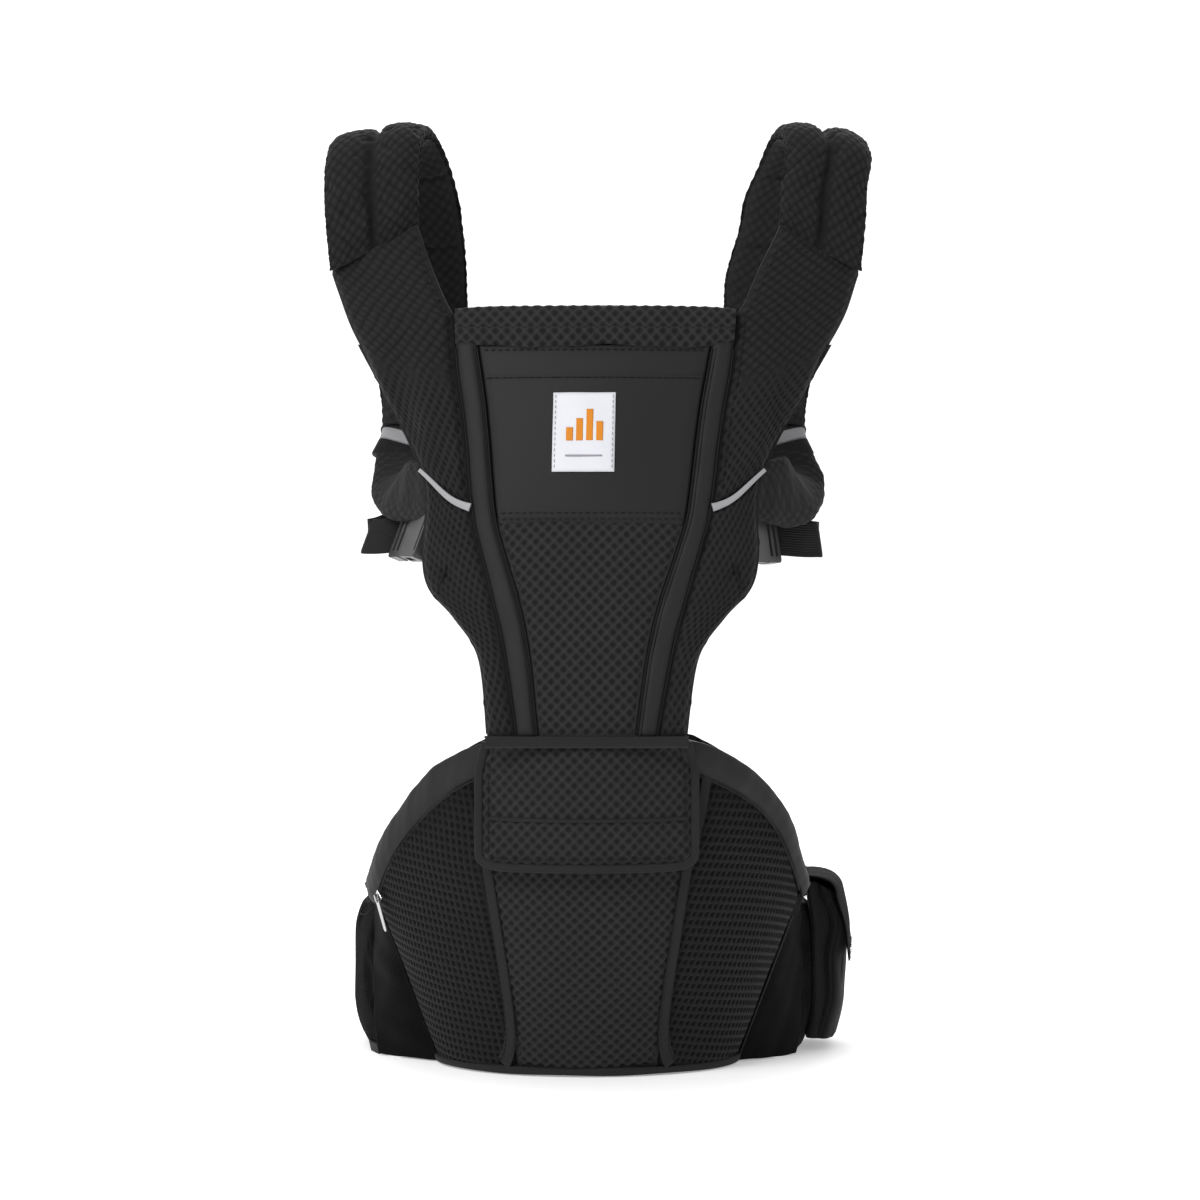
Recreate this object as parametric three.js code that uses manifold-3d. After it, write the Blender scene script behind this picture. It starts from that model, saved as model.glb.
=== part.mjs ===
// A soft baby carrier with a foam hip seat: seat block, padded waist belt with a storage pouch, back panel with
// pocket and side wings, looped shoulder straps, a sternum strap, a zip and four side-release buckles.
// Millimetres. +Z up, +X to the right, the front of the carrier faces -Y, origin on the base under the seat.
import * as THREE from "three";
import { mergeVertices } from "three/addons/utils/BufferGeometryUtils.js";
import Module from "manifold-3d";

const wasm = await Module();
wasm.setup();

// ---------- driving dimensions ----------
const gap = 0.4; // between neighbouring layers
const skin = 3; // thickness of a knitted cover
const webbingThick = 1.8;

const seat = {
  baseHalf: 102, // half width at the base
  rimHalf: 149.5, // half width where the seat meets the belt
  rimEnd: 120, // height of the rim at its two ends
  crown: 110, // how much higher the rim is in the middle
  back: 22, // y of the flat back
  sideDepth: 5, // depth at the two ends
  baseDepth: 77, // depth in the middle of the base
  bulge: 69, // how much deeper the seat is under the rim
  foamInset: 9, // from the cover's face to the foam
  foamWall: 22, // wall of the hollow foam block
  lipHigh: 0.925, // height of the cover's lip in the middle, as a share of the rim height
  lipDrop: 0.055, // how much that share falls towards the ends
};

const panel = {
  bottom: 229,
  top: 510,
  neckLow: 485, // lower seam of the neck roll
  pocketHigh: 484.2,
  pocketLow: 366,
  foamLow: 240,
  bottomY: -131,
  topY: -84,
  lowCurl: 0.0023, // how fast the sides curl back, 1/mm
  highCurl: 0.0014,
  strapSeamOuter: 535,
  strapSeamInner: 560,
};

const strap = { width: 64, endWidth: 50, thick: 17, groove: 6, lining: 2.2 };
const belt = { height: 107, thick: 12, frontPad: 12 };
const pouch = { low: 8, high: 124, thick: 24, wall: 2, flapDrop: 50 };
const flap = { high: 226.5, low: 144.5, half: 70, thick: 4, standOff: 7 };

// ---------- colours and finishes ----------
const cloth = (colour, roughness = 0.9) =>
  new THREE.MeshStandardMaterial({ color: colour, roughness, metalness: 0 });
const finish = {
  waffleKnit: cloth(0x232323),
  gridMesh: cloth(0x1e1e1e),
  smoothTwill: cloth(0x2a2a2a, 0.75),
  plainKnit: cloth(0x1c1c1c),
  lining: cloth(0x161616),
  webbing: cloth(0x151515, 0.8),
  foam: cloth(0x3a3a3a),
  reflective: cloth(0x9a9a9a, 0.45),
  label: cloth(0xe8eaee, 0.7),
  acetal: new THREE.MeshStandardMaterial({ color: 0x1b1b1d, roughness: 0.42, metalness: 0 }),
  metal: new THREE.MeshStandardMaterial({ color: 0xd8d8d8, roughness: 0.18, metalness: 1 }),
};

// ---------- general helpers ----------
const { lerp, clamp } = THREE.MathUtils;
const part = new THREE.Group();

// Adds a mesh with its node name to a group, by default the part itself.
function add(name, geometry, material, parent = part) {
  const mesh = new THREE.Mesh(geometry, material);
  mesh.name = name;
  parent.add(mesh);
  return mesh;
}

// A geometry with only its corner positions, shared between faces.
function welded(geometry) {
  const bare = geometry.clone();
  bare.deleteAttribute("normal");
  bare.deleteAttribute("uv");
  return mergeVertices(bare, 1e-4);
}

// The signed volume of a closed geometry: negative when its faces point inwards.
function signedVolume(geometry) {
  const p = geometry.attributes.position;
  const index = geometry.index;
  const [a, b, c] = [new THREE.Vector3(), new THREE.Vector3(), new THREE.Vector3()];
  let sum = 0;
  for (let i = 0; i < index.count; i += 3) {
    a.fromBufferAttribute(p, index.getX(i));
    b.fromBufferAttribute(p, index.getX(i + 1));
    c.fromBufferAttribute(p, index.getX(i + 2));
    sum += a.dot(b.cross(c));
  }
  return sum / 6;
}

// Turns every face round when the geometry is inside out.
function facingOut(geometry) {
  if (signedVolume(geometry) < 0) {
    const index = geometry.index.array;
    for (let i = 0; i < index.length; i += 3) [index[i], index[i + 1]] = [index[i + 1], index[i]];
  }
  return geometry;
}

// A box of nu x nv x nw cells whose corners are moved to place(u, v, w), each from 0 to 1.
function bentBox(nu, nv, nw, place) {
  const box = welded(new THREE.BoxGeometry(1, 1, 1, nu, nv, nw));
  const p = box.attributes.position;
  for (let i = 0; i < p.count; i++) {
    const at = place(p.getX(i) + 0.5, p.getY(i) + 0.5, p.getZ(i) + 0.5);
    p.setXYZ(i, at.x, at.y, at.z);
  }
  return facingOut(box);
}

// The unit normal of surface(u, v), by differences; sign chooses the side.
function normalAt(surface, u, v, sign) {
  const e = 0.004;
  const du = surface(Math.min(u + e, 1), v).sub(surface(Math.max(u - e, 0), v));
  const dv = surface(u, Math.min(v + e, 1)).sub(surface(u, Math.max(v - e, 0)));
  return du.cross(dv).normalize().multiplyScalar(sign);
}

// A sheet on surface(u, v) from low(u, v) to high(u, v) millimetres along the surface's normal.
function sheet(surface, nu, nv, low, high, sign = 1) {
  const read = (value, u, v) => (typeof value === "function" ? value(u, v) : value);
  return bentBox(nu, nv, 1, (u, v, w) => {
    const off = lerp(read(low, u, v), read(high, u, v), w);
    return surface(u, v).addScaledVector(normalAt(surface, u, v, sign), off);
  });
}

// A flat strip along a curve: across(t) gives its width direction, and it lies from low to high off the curve.
function strip(curve, steps, width, low, high, across, cells = 1) {
  return bentBox(steps, cells, 1, (u, v, w) => {
    const side = across(u).normalize();
    const out = curve.getTangentAt(u).cross(side).normalize();
    const wide = typeof width === "function" ? width(u) : width;
    const [from, to] = [low, high].map((x) => (typeof x === "function" ? x(u, v) : x));
    return curve.getPointAt(u).addScaledVector(side, (v - 0.5) * wide).addScaledVector(out, lerp(from, to, w));
  });
}

// Reads a smooth value from a few [where, value] pairs.
function through(pairs) {
  const curve = new THREE.SplineCurve(pairs.map(([at, value]) => new THREE.Vector2(at, value)));
  const table = curve.getPoints(120);
  return (at) => {
    const i = clamp(table.findIndex((p) => p.x >= at), 1, table.length - 1);
    const [p, q] = at > table.at(-1).x ? [table.at(-1), table.at(-1)] : [table[i - 1], table[i]];
    const share = q.x === p.x ? 0 : clamp((at - p.x) / (q.x - p.x), 0, 1);
    return lerp(p.y, q.y, share);
  };
}

// The same shape on the other side of the carrier.
function mirrored(geometry) {
  const copy = geometry.clone();
  copy.scale(-1, 1, 1);
  return facingOut(copy);
}

const point = (x, y, z) => new THREE.Vector3(x, y, z);
const route = (...points) => new THREE.CatmullRomCurve3(points.map((p) => point(...p)), false, "centripetal");
const box = (x0, x1, y0, y1, z0, z1) =>
  new THREE.BoxGeometry(x1 - x0, y1 - y0, z1 - z0).translate((x0 + x1) / 2, (y0 + y1) / 2, (z0 + z1) / 2);

// ---------- booleans ----------
function solid(geometry) {
  const bare = welded(geometry);
  return new wasm.Manifold(
    new wasm.Mesh({
      numProp: 3,
      vertProperties: new Float32Array(bare.attributes.position.array),
      triVerts: new Uint32Array(bare.index.array),
    }),
  );
}

function shape(manifold) {
  const mesh = manifold.getMesh();
  const geometry = new THREE.BufferGeometry();
  geometry.setAttribute("position", new THREE.BufferAttribute(mesh.vertProperties, 3));
  geometry.setIndex(new THREE.BufferAttribute(mesh.triVerts, 1));
  return geometry;
}

const cut = (geometry, ...tools) =>
  shape(tools.reduce((body, tool) => body.subtract(solid(tool)), solid(geometry)));
const join = (...pieces) => shape(pieces.map(solid).reduce((body, more) => body.add(more)));

// ---------- hip seat ----------
const rimHeight = (a) => seat.rimEnd + seat.crown * (1 - Math.abs(a) ** 3.2) ** 0.8;
const seatDepth = (a, h) => {
  const middle = seat.baseDepth + seat.bulge * Math.sin(1.1 * h * (Math.PI / 2));
  return seat.sideDepth + (middle - seat.sideDepth) * Math.sqrt(Math.max(0, 1 - a * a));
};
const lipAt = (a) => seat.lipHigh - seat.lipDrop * a * a;

// The seat's outer front: a runs from side to side, -1 to 1, and h from the base to the rim, 0 to 1.
function seatFront(a, h, inset = 0) {
  const half = lerp(seat.baseHalf, seat.rimHalf, h) - inset;
  return point(a * half, seat.back - seatDepth(a, h) + inset, Math.max(h * (rimHeight(a) - inset), 0));
}

// Half width, as a share, of the waffle-knit centre of the seat's front.
const centreShare = (h) => lerp(0.46, 0.53, h);
const sheetOnSeat = (aLow, aHigh, hLow, hHigh) => (u, v) => {
  const h = lerp(hLow, hHigh, v);
  return seatFront(shareBetween(aLow(h), aHigh(h), u), h);
};

// Shares of the half width at even steps of angle round the seat, so that the sides stay smooth.
function shareBetween(low, high, u) {
  return Math.sin(lerp(Math.asin(low), Math.asin(high), u));
}

function buildSeat() {
  const coreInset = seat.foamInset;
  const blockAt = (inset, low) => (u, v, w) => {
    const front = seatFront(shareBetween(-1, 1, u), v, inset);
    return point(front.x, lerp(front.y, seat.back - gap - (inset - coreInset), w), Math.max(front.z, low));
  };
  const block = bentBox(16, 6, 1, blockAt(coreInset, skin + gap));
  const hollow = bentBox(10, 4, 1, (u, v, w) => {
    const front = seatFront(shareBetween(-0.8, 0.8, u), v, coreInset + seat.foamWall);
    return point(front.x, lerp(front.y, seat.back - seat.foamWall, w), front.z - 2 * seat.foamWall * (1 - v) - 1);
  });
  add("seat_foam_core", cut(block, hollow), finish.foam);

  const base = bentBox(16, 2, 1, (u, v, w) => {
    const front = seatFront(shareBetween(-1, 1, u), 0);
    return point(front.x, lerp(front.y, seat.back - gap, v), lerp(0, skin, w));
  });
  add("seat_base_cover", base, finish.plainKnit);

  const [low, high] = [0.022, 0.985];
  const seam = 0.006; // half of the joint between two covers, as a share of the half width
  const centre = sheetOnSeat((h) => -centreShare(h) + seam, (h) => centreShare(h) - seam, low, high);
  add("seat_front_cover", sheet(centre, 10, 8, -skin, 0), finish.waffleKnit);
  const side = sheet(sheetOnSeat((h) => -0.995, (h) => -centreShare(h) - seam, low, high), 7, 8, -skin, 0);
  add("seat_side_cover_left", side, finish.gridMesh);
  add("seat_side_cover_right", mirrored(side), finish.gridMesh);

  // The smooth top cover: up from the lip to the rim, then back over the seat.
  const rimShare = 0.25;
  const top = (u, v) => {
    const a = shareBetween(-0.992, 0.992, u);
    if (v < rimShare) return seatFront(a, lerp(lipAt(a), 1, v / rimShare));
    const rim = seatFront(a, 1);
    return point(rim.x, lerp(rim.y, seat.back - 1, (v - rimShare) / (1 - rimShare)), rim.z);
  };
  add("seat_top_cover", sheet(top, 22, 8, 2 * gap, 2 * gap + 2), finish.smoothTwill);

  const tape = (u, v) => {
    const a = shareBetween(-0.985, 0.985, u);
    return seatFront(a, lipAt(a) - lerp(0.045, 0.004, v));
  };
  add("zip_tape", sheet(tape, 24, 1, 2 * gap, 2 * gap + 1), finish.webbing);

  const pad = bentBox(16, 4, 1, (u, v, w) => {
    const a = lerp(-1, 1, u);
    const rim = rimHeight(a);
    const y = lerp(seat.back + gap, seat.back + gap + belt.frontPad, w);
    return point(a * lerp(130, 141, v), y, lerp(0, rim - 1, v));
  });
  add("belt_front_pad", pad, finish.plainKnit);
}

// The zip slider sits at the left end of the arc. Its bridge is turned so that the pull hangs down.
function buildZip() {
  const a = -0.965;
  const onTape = (share) => seatFront(share, lipAt(share) - 0.03);
  const at = onTape(a);
  const along = onTape(a + 0.02).sub(at).normalize();
  const out = normalAt((u, v) => seatFront(lerp(-1, 1, u), v), (a + 1) / 2, lipAt(a) - 0.03, 1);
  const across = out.clone().cross(along).normalize();
  const slider = new THREE.Group();
  slider.position.copy(at.addScaledVector(out, 4 * gap + 1));
  slider.quaternion.setFromRotationMatrix(new THREE.Matrix4().makeBasis(along, across, out));
  part.add(slider);
  const turn = Math.atan2(across.z, along.z);
  const bridge = cut(box(-2.6, 2.6, -1.1, 1.1, 2, 5), box(-1.3, 1.3, -2, 2, 2.6, 4.2));
  add("zip_slider", join(box(-4.5, 4.5, -3.5, 3.5, 0.2, 2.6), bridge.rotateZ(turn)), finish.metal, slider);
  const tab = new THREE.Shape();
  tab.moveTo(0.6, -2.6);
  tab.lineTo(0.6, 2.6);
  tab.lineTo(-22, 2.1);
  tab.absarc(-22, 0, 2.1, Math.PI / 2, 1.5 * Math.PI, false);
  const plate = new THREE.ExtrudeGeometry(tab, { depth: 0.8, bevelEnabled: false, curveSegments: 6 });
  const hanging = new THREE.Group();
  hanging.position.z = 3.4;
  hanging.rotation.z = turn;
  slider.add(hanging);
  const pull = cut(plate.translate(0, 0, -0.4), box(-3.2, -0.6, -1.5, 1.5, -2, 2));
  add("zip_pull", pull, finish.metal, hanging);
}

// ---------- back panel ----------
const panelDepth = (x, z) => {
  const t = (z - panel.bottom) / (panel.top - panel.bottom);
  return lerp(panel.bottomY, panel.topY, 0.5 * t + 0.5 * t * Math.abs(t)) +
    x * x * lerp(panel.lowCurl, panel.highCurl, clamp(t, 0, 1));
};
const onPanel = (x, z) => point(x, panelDepth(x, z), z);

// Half widths at a few heights: the panel's outer edge and the two edges of the smooth side stripe.
const panelEdge = through([[229, 65], [279, 71.5], [305, 88], [324, 105], [345, 110], [376, 109], [402, 113],
  [459, 141], [503, 159], [535, 170]]);
const stripeOuter = through([
  [229, 45.5], [283, 54.6], [318, 63], [350, 71.8], [375, 77.8], [425, 83.5], [461, 88.3], [484, 89],
]);
const stripeInner = through([
  [229, 31.2], [283, 38], [318, 45.8], [348, 55.5], [375, 62.5], [425, 68], [461, 72.3], [484, 74.6],
]);

// A sheet of the panel between two edges; x from left(z) to right(z), z from low to high.
const patch = (left, right, low, high) => (u, v) => {
  const z = lerp(low, high, v);
  return onPanel(lerp(left(z), right(z), u), z);
};
const pipingHeight = (share) => lerp(377, 402.5, share) - 5 * Math.sin(Math.PI * share);

function buildPanel() {
  const joint = 0.35;
  const neg = (f, off = 0) => (z) => -f(z) + off;
  const pos = (f, off = 0) => (z) => f(z) + off;

  const inner = patch(neg(stripeInner, joint), pos(stripeInner, -joint), panel.bottom, panel.neckLow - 1);
  add("panel_centre", sheet(inner, 6, 10, 0, -skin), finish.waffleKnit);
  const outline = patch(neg(stripeOuter, joint), neg(stripeInner, -joint), panel.bottom, panel.neckLow - 1);
  const stripe = sheet(outline, 2, 12, 0, -skin);
  add("panel_stripe_left", stripe, finish.smoothTwill);
  add("panel_stripe_right", mirrored(stripe), finish.smoothTwill);

  const foam = patch(neg(stripeOuter, 3), pos(stripeOuter, -3), panel.foamLow, panel.neckLow - 4);
  add("panel_foam", sheet(foam, 6, 8, -skin - gap, -skin - gap - 4), finish.foam);
  const back = patch(neg(stripeOuter, 0.5), pos(stripeOuter, -0.5), panel.foamLow - 2, panel.neckLow - 1);
  add("panel_lining", sheet(back, 6, 8, -skin - 2 * gap - 4, -skin - 2 * gap - 6), finish.lining);

  const roll = patch(() => -88.6, () => 88.6, panel.neckLow, panel.top);
  add("neck_roll", sheet(roll, 8, 3, (u, v) => 3 * Math.sin(Math.PI * v), -skin - 2 * gap - 6), finish.waffleKnit);

  // The pocket bulges a little over the folded sun hood.
  const bulge = (u, v) => Math.sin(Math.PI * u) * Math.sin(Math.PI * v);
  const front = patch(neg(stripeInner, 1), pos(stripeInner, -1), panel.pocketLow, panel.pocketHigh - 0.6);
  const lining = (u, v) => gap + 5 * bulge(u, v);
  add("pocket_front", sheet(front, 8, 8, lining, (u, v) => lining(u, v) + 1.6), finish.smoothTwill);
  const within = (t) => lerp(0.16, 0.84, t);
  const hood = (u, v) => front(within(u), within(v));
  add("folded_sun_hood", sheet(hood, 4, 4, gap, (u, v) => 5 * bulge(within(u), within(v)) - 0.2), finish.lining);
  const label = patch(() => -26.5, () => 14.5, 400, 452);
  const pocketShare = (x, z) => [
    (x / (stripeInner(z) - 1) + 1) / 2,
    (z - panel.pocketLow) / (panel.pocketHigh - panel.pocketLow),
  ];
  const overPocket = (off) => (u, v) => {
    const at = label(u, v);
    return gap + 1.6 + 5 * bulge(...pocketShare(at.x, at.z)) + off;
  };
  add("woven_label", sheet(label, 4, 4, overPocket(0.5), overPocket(1.2)), finish.label);

  // Wings: u runs from the stripe out to the panel's edge, v up.
  const wingLow = (u, v) => {
    const top = pipingHeight(u);
    const z = lerp(panel.bottom, top - 1.4, v);
    return onPanel(-lerp(stripeOuter(z) + joint, panelEdge(z), u), z);
  };
  const lower = sheet(wingLow, 5, 12, -0.2, -4.2, -1);
  add("side_wing_lower_left", lower, finish.waffleKnit);
  add("side_wing_lower_right", mirrored(lower), finish.waffleKnit);

  const piping = (u, v) => {
    const z = pipingHeight(u) + lerp(-1, 1, v);
    return onPanel(-lerp(stripeOuter(z) + joint, panelEdge(z), u), z);
  };
  const cord = sheet(piping, 6, 1, 1.2, -3, -1);
  add("reflective_piping_left", cord, finish.reflective);
  add("reflective_piping_right", mirrored(cord), finish.reflective);

  const wingHigh = (u, v) => {
    const low = pipingHeight(u) + 1.4;
    const high = lerp(panel.strapSeamInner, panel.strapSeamOuter, u) - 1;
    const z = lerp(low, high, v);
    const seam = z < panel.neckLow ? stripeOuter(z) : lerp(89, 110, clamp((z - panel.neckLow) / 60, 0, 1) ** 0.8);
    return onPanel(-lerp(seam + joint, panelEdge(Math.min(z, 535)), u), z);
  };
  const upper = sheet(wingHigh, 6, 12, 0, -5, -1);
  add("side_wing_upper_left", upper, finish.waffleKnit);
  add("side_wing_upper_right", mirrored(upper), finish.waffleKnit);
}

// The flap hangs from the panel's foot over the front of the seat.
function buildFlap() {
  const hang = (u, v) => {
    const z = lerp(flap.high, flap.low, v);
    const half = lerp(65, flap.half, clamp(v * 4, 0, 1));
    const x = lerp(-half, half, u);
    const h = clamp(z / rimHeight(x / seat.rimHalf), 0, 1);
    const behind = seatFront(x / lerp(seat.baseHalf, seat.rimHalf, h), h);
    return point(x, Math.min(behind.y - flap.standOff, panelDepth(x, panel.bottom) + 4 + v * 4), z);
  };
  add("panel_flap", sheet(hang, 8, 6, 0, -flap.thick), finish.waffleKnit);
}

// ---------- shoulder straps ----------
const strapRoute = route([-141, -44, 549], [-143, -42, 590], [-142, -26, 617], [-137, 2, 626], [-127, 28, 606],
  [-119, 38, 560], [-117, 38, 510], [-117, 37, 466], [-121, 25, 434]);
const strapRoll = through([[0, 0.43], [0.3, 0.16], [0.55, 0], [1, 0]]);
const strapAcross = (t) => point(Math.cos(strapRoll(t)), 0, Math.sin(strapRoll(t)));
const strapWidth = through([[0, 63], [0.3, strap.width], [0.8, strap.width], [1, strap.endWidth]]);

function buildStraps() {
  const half = strap.thick / 2;
  const channel = (v) => Math.abs(Math.sin(2 * Math.PI * v)) ** 0.5;
  const crown = (u, v) => half - strap.groove * (1 - channel(v)) * (v > 0.3 && v < 0.7 ? 1 : 0.8);
  const back = half - strap.lining - 3 * gap;
  const foam = strip(strapRoute, 22, strapWidth, (u, v) => -crown(u, v), back, strapAcross, 8);
  add("strap_pad_left", foam, finish.waffleKnit);
  add("strap_pad_right", mirrored(foam), finish.waffleKnit);
  const lining = strip(strapRoute, 22, (t) => strapWidth(t) - 4, half - strap.lining, half, strapAcross, 1);
  add("strap_lining_left", lining, finish.lining);
  add("strap_lining_right", mirrored(lining), finish.lining);

  // The end band closes the pad, and the sleeve runs on to the edge of the side wing.
  const bandRoute = route([-122.4, 21.4, 429.6], [-127, 14, 420.6]);
  const band = strip(bandRoute, 2, (t) => lerp(48, 42, t), -5, 5, () => point(1, 0, 0), 2);
  add("strap_end_band_left", band, finish.reflective);
  add("strap_end_band_right", mirrored(band), finish.reflective);
  const sleeveRoute = route([-129.4, 9.4, 416.8], [-138, -9, 403], [-135, -42, 395], [-116, -70, 391]);
  const sleeveAcross = (t) => point(lerp(0.75, 0.15, t), 0, lerp(0.6, 1, t));
  const sleeve = strip(sleeveRoute, 8, (t) => lerp(24, 22, t), -3, 3, sleeveAcross, 1);
  add("strap_sleeve_left", sleeve, finish.plainKnit);
  add("strap_sleeve_right", mirrored(sleeve), finish.plainKnit);
}

// ---------- side-release buckles ----------
// Sizes for 25 mm webbing; scale makes the other sizes. The plug leaves along +x, the width is y, the face is +z.
const buckle = {
  socketLong: 28, width: 35, thick: 10, cavity: 22, cavityHalf: 14.2, cavityHigh: 6.4,
  frameLong: 20, frameThick: 8, slotHalf: 12.8, tongueHalf: 3, reach: 18, prongIn: 9.4, prongOut: 13.9,
};

function roundedPlate(x0, x1, half, thick, radius) {
  const outline = new THREE.Shape();
  outline.moveTo(x0 + radius, -half);
  outline.lineTo(x1 - radius, -half);
  outline.absarc(x1 - radius, -half + radius, radius, -Math.PI / 2, 0, false);
  outline.absarc(x1 - radius, half - radius, radius, 0, Math.PI / 2, false);
  outline.absarc(x0 + radius, half - radius, radius, Math.PI / 2, Math.PI, false);
  outline.absarc(x0 + radius, -half + radius, radius, Math.PI, 1.5 * Math.PI, false);
  const solid = new THREE.ExtrudeGeometry(outline, { depth: thick, bevelEnabled: false, curveSegments: 3 });
  return solid.translate(0, 0, -thick / 2);
}

function socketShape() {
  const b = buckle;
  return cut(
    roundedPlate(-b.socketLong, 0, b.width / 2, b.thick, 4),
    box(-b.cavity, 2, -b.cavityHalf, b.cavityHalf, -b.cavityHigh / 2, b.cavityHigh / 2),
    box(-17, -7, -b.width, -b.cavityHalf + 1, -2.6, 2.6),
    box(-17, -7, b.cavityHalf - 1, b.width, -2.6, 2.6),
    box(-b.socketLong + 2, -b.socketLong + 4.2, -b.slotHalf, b.slotHalf, -b.thick, b.thick),
  );
}

function plugShape() {
  const b = buckle;
  const frame = roundedPlate(0.6, 0.6 + b.frameLong, b.width / 2, b.frameThick, 3);
  const tongue = box(-b.reach, 1, -b.tongueHalf, b.tongueHalf, -1.6, 1.6);
  const slot = (x) => box(x, x + 3.6, -b.slotHalf, b.slotHalf, -b.thick, b.thick);
  return cut(join(frame, tongue), slot(5.4), slot(13));
}

function prongShape(side) {
  const b = buckle;
  const arm = new THREE.Shape();
  arm.moveTo(0.2, side * b.prongIn);
  arm.lineTo(-15.5, side * (b.prongIn + 0.8));
  arm.quadraticCurveTo(-19, side * (b.prongIn + 1), -18.5, side * (b.prongIn + 2.4));
  arm.quadraticCurveTo(-17.5, side * b.prongOut, -15, side * b.prongOut);
  arm.lineTo(-8, side * b.prongOut);
  arm.quadraticCurveTo(-6.5, side * (b.prongIn + 2.6), 0.2, side * (b.prongIn + 2.2));
  arm.closePath();
  const geometry = new THREE.ExtrudeGeometry(arm, { depth: 4.4, bevelEnabled: false, curveSegments: 4 });
  return facingOut(welded(geometry.translate(0, 0, -2.2)));
}

// Places a buckle: origin is the socket's mouth, along the way the plug leaves, wide its width direction.
function placeBuckle(prefix, origin, along, wide, scale, plugBack = 0, withProngs = true) {
  const x = along.clone().normalize();
  const z = x.clone().cross(wide).normalize();
  const y = z.clone().cross(x).normalize();
  const frame = new THREE.Group();
  frame.name = prefix + "_frame";
  frame.position.copy(origin);
  frame.quaternion.setFromRotationMatrix(new THREE.Matrix4().makeBasis(x, y, z));
  frame.scale.setScalar(scale);
  part.add(frame);
  add(prefix + "_socket", socketShape(), finish.acetal, frame);
  const moved = new THREE.Group();
  moved.position.x = plugBack;
  frame.add(moved);
  add(prefix + "_plug", plugShape(), finish.acetal, moved);
  if (!withProngs) return;
  add(prefix + "_prong_a", prongShape(1), finish.acetal, moved);
  add(prefix + "_prong_b", prongShape(-1), finish.acetal, moved);
}

const shoulderBuckle = {
  left: { at: [-115.5, -59, 360], along: [-0.42, 0.9, 0], wide: [0.36, 0.16, 1] },
  right: { at: [114, -62, 358], along: [0.5, 0.87, 0], wide: [-0.14, 0.08, 1] },
};

function buildShoulderBuckles() {
  for (const side of ["left", "right"]) {
    const place = shoulderBuckle[side];
    const along = point(...place.along).normalize();
    const wide = point(...place.wide).normalize();
    placeBuckle("shoulder_buckle_" + side, point(...place.at), along, wide, 1);
    // The webbing turns round the plug's bar, folds out to the side and comes back behind it.
    const out = side === "left" ? -1 : 1;
    const bar = point(...place.at).addScaledVector(along, 25);
    const at = (x, y, z) => bar.clone().add(point(out * x, y, z));
    const tail = new THREE.CatmullRomCurve3([at(-6, 1, 1), at(4, 0, 0), at(14, 1, -1), at(21, 3.5, -1), at(21, 8.5, -1),
      at(12, 11, 1), at(2, 16, 6)], false, "centripetal");
    const fold = strip(tail, 16, 24, -webbingThick / 2, webbingThick / 2, () => wide.clone(), 1);
    add("strap_webbing_" + side, fold, finish.webbing);
  }
}

// ---------- waist belt ----------
// The right wing laps over the left one at the back.
const wingRoute = {
  left: route(
    [-142.5, 36, 0], [-158, 64, 0], [-166, 110, 0], [-153, 163, 0],
    [-116, 201, 0], [-62, 216, 0], [0, 219.5, 0], [42, 218, 0],
  ),
  right: route(
    [142.5, 36, 0], [151, 64, 0], [155, 110, 0], [146, 164, 0],
    [114, 207, 0], [62, 228, 0], [12, 233, 0], [-26, 232, 0],
  ),
};
const wingLowEdge = (t) => 12 * clamp((t - 0.6) / 0.4, 0, 1) ** 2;
const wingHighEdge = (t) => belt.height - 14 * clamp((t - 0.35) / 0.65, 0, 1);

function wingAt(side, t, z, off) {
  const curve = wingRoute[side];
  const tangent = curve.getTangentAt(clamp(t, 0, 1));
  const out = point(tangent.y, -tangent.x, 0).multiplyScalar(side === "left" ? -1 : 1);
  return curve.getPointAt(clamp(t, 0, 1)).addScaledVector(out, off).setZ(z);
}

// A piece on the outside of a wing, t0 to t1 along it, between two heights and two distances from its middle.
function onWing(side, steps, t0, t1, low, high, from, to) {
  return bentBox(steps, 1, 1, (u, v, w) => {
    const t = lerp(t0, t1, u);
    const z = lerp(typeof low === "function" ? low(t) : low, typeof high === "function" ? high(t) : high, v);
    return wingAt(side, t, z, lerp(from, to, w));
  });
}

function buildBelt() {
  const half = belt.thick / 2;
  for (const side of ["left", "right"])
    add("belt_wing_" + side, onWing(side, 20, 0, 1, wingLowEdge, wingHighEdge, -half, half), finish.plainKnit);
  add("hook_patch", onWing("left", 5, 0.84, 0.985, 22, 84, half + 0.3, half + 1.1), finish.lining);

  const strapHalf = 19;
  const middle = 52;
  const mouth = point(-46, 240.5, middle);
  const along = point(0.97, 0.243, 0);
  const upright = () => point(0, 0, 1);
  const lie = (side, ...shares) => shares.map((t) => wingAt(side, t, middle, half));
  const run = (points) => new THREE.CatmullRomCurve3(points, false, "centripetal");
  const leftRun = run([...lie("left", 0.42, 0.49, 0.56, 0.61), mouth.clone().addScaledVector(along, -37)]);
  const rightRun = run([...lie("right", 0.7, 0.76, 0.82), mouth.clone().addScaledVector(along, 56)]);
  add("waist_webbing_left", strip(leftRun, 12, 2 * strapHalf, -0.9, -3, upright), finish.webbing);
  add("waist_webbing_right", strip(rightRun, 10, 2 * strapHalf, 0.9, 3, upright), finish.webbing);
  placeBuckle("waist_buckle", mouth, along, point(0, 0, 1), 1.25, 22);
}

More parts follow.
